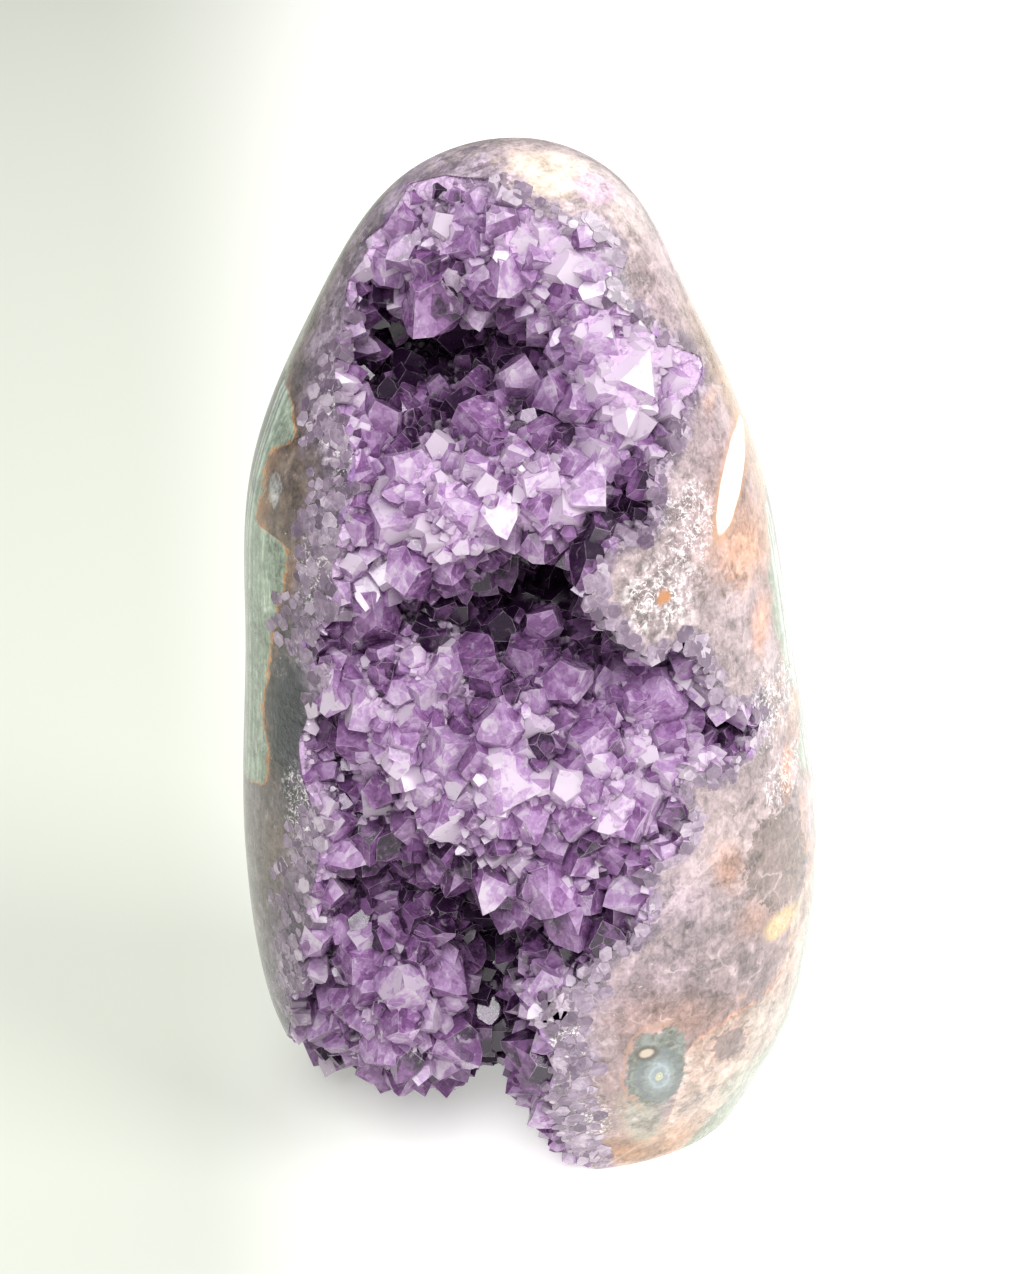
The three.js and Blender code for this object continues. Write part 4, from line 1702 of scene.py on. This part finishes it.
    def rind(self, shader: Shader, paint: Paint, left: Number, right: Number, z: Number) -> None:
        """The celadon rind, streaked and layered, and its rust outline.

        Args:
            shader: the material that it belongs to.
            paint: the colours that it is laid over.
            left: how far inside the left rind a place lies, less than nothing in the rind.
            right: how far inside the right rind it lies.
            z: heights above the base, in millimetres.
        """
        streaks = shader.noise(0.9, 4, 0.5, (0.7, 0.7, 9))
        depth = left.least(right)
        drawn_out = shader.vector(depth * 1.3 + shader.noise(12) * 1.5, z * 0.06, 0.0)
        layers = shader.noise(1.0, 3, 0, at=drawn_out)
        green = Paint(shader, (0.25, 0.30, 0.235))
        green.lay((0.14, 0.145, 0.095), right.rise(1.5, -0.5) * 0.8)
        green.lay((0.11, 0.16, 0.12), streaks.rise(0.0, 0.8) * 0.6)
        green.lay((0.50, 0.54, 0.47), streaks.rise(-0.1, -0.8) * 0.6)
        green.lay((0.60, 0.63, 0.57), layers.rise(0.3, 0.8) * depth.rise(-6, -8) * 0.6)
        green.lay((0.05, 0.08, 0.06), layers.rise(-0.4, -0.9) * depth.rise(-6, -8) * 0.6)
        green.lay((0.22, 0.16, 0.11), shader.noise(6.5, 4).rise(0.2, 0.9) * depth.rise(-4, -9) * 0.6)
        green.lay((0.40, 0.36, 0.31), depth.rise(-9, -16) * shader.noise(12, 4).rise(-0.3, 0.6))
        paint.lay(green.colour, depth.rise(0.15, -0.15))
        paint.lay((0.46, 0.24, 0.11), left.band(0.1, 0.35) * (0.8 + shader.noise(2.5) * 0.4))

    def outline_lines(self, shader: Shader, paint: Paint, share: Number, x: Number, z: Number) -> None:
        """Fine dark and bright lines in the rind along the stone's outline; the bright ones are partly
        painted reflection.

        Args:
            shader: the material that it belongs to.
            paint: the colours that it is laid over.
            share: how strong the lines are, from 0 to 1.
            x: places across, in millimetres.
            z: heights above the base, in millimetres.
        """
        levels = np.linspace(0, StoneForm.height, 16)
        middle, wide, _, _ = StoneForm().ring(levels)
        west = x + shader.curve(z, tuple(zip(levels, np.maximum(wide - middle, 0))))
        east = shader.curve(z, tuple(zip(levels, wide + middle))) - x
        inward = west.least(east) + shader.noise(12) * 0.12 + shader.noise(0.8, 2, 0, (1, 1, 12)) * 0.06
        paint.lay((0.34, 0.235, 0.155), east.rise(3.0, 0.3) * z.rise(52, 66) * z.rise(135, 120) * 0.9)
        paint.lay((0.26, 0.22, 0.19), west.rise(2.5, 0.3) * z.rise(96, 104) * z.rise(140, 125) * 0.6)
        # Banding, with bright lines that are partly painted reflection.
        lines = shader.ramp(inward / 3.0, self.outline_lines_and_sheen)
        paint.lay(lines, inward.rise(2.8, 2.0) * share * 0.9)

    @staticmethod
    def blob(x: Number, z: Number, middle: Sequence[float], wide: float, high: float,
             turn: float = 0.0) -> Number:
        """Gives how far out a place is from an ellipse's middle, with 1 on its outline.

        Args:
            x: places across, in millimetres.
            z: heights above the base, in millimetres.
            middle: the ellipse's middle.
            wide: its half-width.
            high: its half-height.
            turn: how many degrees it is turned.

        Returns:
            The share.
        """
        c, s = math.cos(math.radians(turn)), math.sin(math.radians(turn))
        u = ((x - middle[0]) * c + (z - middle[1]) * s) / wide
        v = ((z - middle[1]) * c - (x - middle[0]) * s) / high
        return (u * u + v * v) ** 0.5

    def star(self, shader: Shader, paint: Paint, x: Number, z: Number, front: Number) -> None:
        """A rust spot with white rays round it.

        Args:
            shader: the material that it belongs to.
            paint: the colours that it is laid over.
            x: places across from the star's middle.
            z: heights above its middle.
            front: 1 on the front, 0 elsewhere.
        """
        reach = (x * x + z * z) ** 0.5 + shader.noise(1.5) * 0.5
        angle = shader.math("ARCTAN2", z, x)
        round_it = shader.vector(angle * 3.2, reach * 0.3, 0.0)
        rays = shader.noise(1.0, 3, 0, at=round_it) + shader.noise(0.9) * 0.4
        near = reach.rise(7.5, 3.0) * front
        paint.lay((0.90, 0.86, 0.86), rays.rise(0.1, 0.8) * reach.rise(1.2, 2.6) * near * 0.75)
        paint.lay((0.15, 0.12, 0.11), rays.rise(-0.2, -0.9) * near * 0.5)
        paint.lay((0.42, 0.19, 0.08), reach.rise(1.5, 0.6) * front)

    def window_reflection(self, paint: Paint, x: Number, z: Number, front: Number, wobble: Number) -> None:
        """A painted reflection of a window on the polished front: a white patch in an orange glow.

        Args:
            paint: the colours that it is laid over.
            x: places across, in millimetres.
            z: heights above the base, in millimetres.
            front: 1 on the front, 0 elsewhere.
            wobble: how far the outline wanders.
        """
        bright = self.blob(x, z, self.window_reflection_place, 1.6, 6.0, -15) + wobble * 0.1
        # Orange glow round the painted reflection, then its white middle.
        paint.lay((0.50, 0.29, 0.17), bright.rise(1.6, 1.0) * front * 0.7)
        paint.lay((1.0, 0.97, 0.90), bright.rise(1.12, 0.95) * front)

    def eye(self, shader: Shader, paint: Paint, x: Number, z: Number, front: Number,
            ragged: Number) -> None:
        """A blue-grey agate eye, drawn out downwards, with a soft rust outline.

        Args:
            shader: the material that it belongs to.
            paint: the colours that it is laid over.
            x: places across, in millimetres.
            z: heights above the base, in millimetres.
            front: 1 on the front, 0 elsewhere.
            ragged: how far the outlines wander.
        """
        z = z - self.eye_place[1]
        x = x - self.eye_place[0] - z * z * 0.012 + z * 0.03
        ring = self.blob(x, z, (0, 0), 4.6, 7.9) + ragged * 0.3 + shader.noise(4) * 0.10
        paint.lay((0.36, 0.215, 0.15), ring.band(1.10, 0.10) * (x - z * 0.3).rise(1.0, -2.0) * front * 0.8)
        clouds = shader.noise(1.5, 4, 1.0).rise(-0.7, 0.8)
        stone = Paint(shader, shader.mix((0.11, 0.125, 0.105), (0.22, 0.24, 0.22), clouds))
        stone.lay((0.075, 0.065, 0.03), shader.noise(0.9).rise(0.0, 0.7) * ring.rise(0.6, 0.92) * 0.85)
        stone.lay((0.30, 0.33, 0.29), shader.noise(0.9, 3, 1.0).rise(0.3, 1.0) * 0.5)
        paint.lay(stone.colour, ring.rise(1.03, 0.9) * front)
        iris = self.blob(x, z, (0.3, -1.2), 2.7, 4.2) + ragged * 0.2
        paint.lay((0.12, 0.145, 0.155), iris.band(1.1, 0.28) * front * 0.7)
        paint.lay((0.23, 0.275, 0.30), (iris + shader.noise(1.5) * 0.15).rise(1.05, 0.4) * front * 0.85)
        paint.lay((0.40, 0.45, 0.46), (iris + shader.noise(0.9) * 0.1).band(0.5, 0.16) * front * 0.5)
        paint.lay((0.50, 0.47, 0.24), iris.band(0.15, 0.08) * front * 0.9)
        paint.lay((0.55, 0.58, 0.52), iris.rise(0.10, 0.05) * front * 0.8)
        dot = self.blob(x, z, (-1.7, 3.6), 1.15, 0.85) + ragged * 0.25
        paint.lay((0.07, 0.055, 0.04), dot.rise(2.0, 1.2) * front * 0.75)
        paint.lay((0.50, 0.42, 0.33), dot.rise(1.1, 0.6) * front * 0.9)
        speck = self.blob(x, z, (1.7, 4.4), 0.6, 0.5) + ragged * 0.3
        paint.lay((0.08, 0.065, 0.05), speck.rise(1.3, 0.7) * front * 0.7)

    def rim(self, shader: Shader, paint: Paint, x: Number, z: Number,
            warped: bpy.types.NodeSocket) -> None:
        """Amethyst ground flat next to the pocket: a mosaic of the points' cut ends, clouded and purple.

        Args:
            shader: the material that it belongs to.
            paint: the colours that it is laid over.
            x: places across, in millimetres.
            z: heights above the base, in millimetres.
            warped: the place that the mosaic is read at.
        """
        away = shader.attribute("from_rim") + shader.noise(2.5, 4) * 0.7
        low_left = x.rise(-18, -28) * (z + shader.noise(6.5) * 4).rise(66, 52)
        lobe = x.rise(14, 8) * x.rise(-4, 0) * z.rise(44, 36)
        flank = x.rise(-15, -21) * z.rise(82, 92) * z.rise(136, 124)
        reach = 2.4 + flank * 5.0 + low_left * 4.0 + lobe * 6.0 + shader.noise(4, 4) * 1.6
        blocks = shader.cells(2.4, output="Color", at=warped) + shader.noise(1.5, 4, 1.0) * 0.2
        stops = ((0.2, (0.07, 0.05, 0.08)), (0.55, (0.19, 0.145, 0.20)), (0.95, (0.40, 0.33, 0.41)))
        paint.lay(shader.ramp(blocks, stops), (away / reach).rise(1.0, 0.35) * 0.8)
        paint.lay((0.30, 0.13, 0.42), away.rise(0.9, 0.0) * shader.noise(6.5).rise(-0.2, 0.6) * 0.6)
        inky = self.blob(x, z, self.inky_place, 3.2, 9.5) + shader.noise(1.5, 4) * 0.3
        paint.lay((0.025, 0.027, 0.033), inky.rise(1.2, 0.6) * 0.95)


# ---------------------------------------------------------------- studio


@dataclass(frozen=True)
class Lamp:
    """One soft square light."""

    name: str
    place: tuple[float, float, float]
    size: float
    power: float
    colour: Colour = (1.0, 1.0, 1.0)
    target: tuple[float, float, float] = (0.0, 0.0, 0.08)

    def build(self) -> None:
        """Hangs the light."""
        data = bpy.data.lights.new(self.name, "AREA")
        data.shape = "SQUARE"
        data.size = self.size
        data.energy = self.power
        data.color = self.colour
        lamp = linked(self.name, data)
        lamp.location = self.place
        ahead = Vector(self.target) - Vector(self.place)
        lamp.rotation_euler = ahead.to_track_quat("-Z", "Y").to_euler()


@dataclass(frozen=True)
class Studio:
    """A pale floor, soft light and the camera."""

    target: tuple[float, float, float] = (-0.003, 0.0, 0.0767)
    pitch: float = math.radians(22)
    distance: float = 0.3412
    lens: float = 65.0
    floor_size: float = 6.0
    # Strength of the floor's painted glow.
    floor_glow: float = 0.45
    shade_width: float = 0.18
    sky: Colour = (1.0, 0.98, 0.99)
    sky_strength: float = 0.42
    lamps: tuple[Lamp, ...] = (
        Lamp("window", (1.8, -0.9, 1.6), 1.3, 43, (1.0, 0.99, 0.97)),
        Lamp("front", (-0.2, -1.6, 1.9), 1.4, 52),
        Lamp("back_window", (1.3, 1.5, 1.0), 1.8, 14, (1.0, 0.97, 0.90)),
    )

    def floor(self) -> None:
        """Lays the floor, with painted shade towards the left as the camera sees it, and a painted glow that
        lifts its shadows.
        """
        floor = primitive("floor", bpy.ops.mesh.primitive_plane_add, size=self.floor_size)
        shader = Shader("pale_floor", Roughness=0.7, Emission_Strength=self.floor_glow)
        x, y, _ = shader.axes()
        camera_before = 320
        # Painted shade: darker and greener towards the left.
        shade = (x / (y + camera_before)).rise(-self.shade_width, 0.0)
        shader.feed("Base Color", shader.mix((0.49, 0.51, 0.455), (0.92, 0.92, 0.90), shade))
        # Painted light: the floor glows to lift the stone's shadow and light it from below.
        shader.feed("Emission Color", shader.mix((0.52, 0.55, 0.48), (0.99, 1.0, 0.96), shade))
        shader.material.cycles.emission_sampling = "NONE"
        floor.data.materials.append(shader.material)

    def camera(self) -> None:
        """Sets up the camera."""
        data = bpy.data.cameras.new("camera")
        data.lens = self.lens
        camera = linked("camera", data)
        ahead = Vector((0, math.cos(self.pitch), -math.sin(self.pitch)))
        camera.location = Vector(self.target) - ahead * self.distance
        camera.rotation_euler = ahead.to_track_quat("-Z", "Y").to_euler()
        bpy.context.scene.camera = camera

    def build(self) -> None:
        """Makes the floor, camera, lamps and the light all round."""
        self.floor()
        self.camera()
        for lamp in self.lamps:
            lamp.build()
        world = bpy.data.worlds.new("soft_room")
        world.use_nodes = True
        background = world.node_tree.nodes["Background"]
        background.inputs["Color"].default_value = (*self.sky, 1)
        background.inputs["Strength"].default_value = self.sky_strength
        bpy.context.scene.world = world
        bpy.context.scene.view_settings.view_transform = "Standard"


def dress(piece: bpy.types.Object, material: bpy.types.Material, node: str) -> None:
    """Gives a piece its finish and its place in the frame.

    Args:
        piece: the finished piece.
        material: its material.
        node: the CAD node that it stands for.
    """
    piece.data.materials.clear()
    piece.data.materials.append(material)
    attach(piece, "root")
    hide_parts(node)
    log.info("%s: %d faces", piece.name, len(piece.data.polygons))


def main() -> None:
    """Builds, dresses and reports every piece."""
    logging.basicConfig(level=logging.INFO, format="%(message)s")
    lining = LiningMap(Pocket())
    stone = PolishedStone(lining).build()
    dress(stone, StoneFinish().make("polished_quartz_and_agate"), "stone")
    crust = AmethystCrust(lining)
    dress(crust.bed(), DruseFinish().make("druse"), "crystal_crust")
    amethyst = AmethystFinish().make("amethyst")
    dress(crust.large(), amethyst, "crystal_crust")
    for size in PointSize:
        dress(crust.scattered(size), amethyst, "crystal_crust")
    cut_quartz = AmethystFinish(white=(0.58, 0.50, 0.58), pale=(0.40, 0.32, 0.41), middle=(0.24, 0.175, 0.25),
                                dark=(0.12, 0.08, 0.13), clearness=0.2)
    dress(crust.cut_points(), cut_quartz.make("cut_quartz"), "crystal_crust")
    Studio().build()


if __name__ == "__main__":
    main()
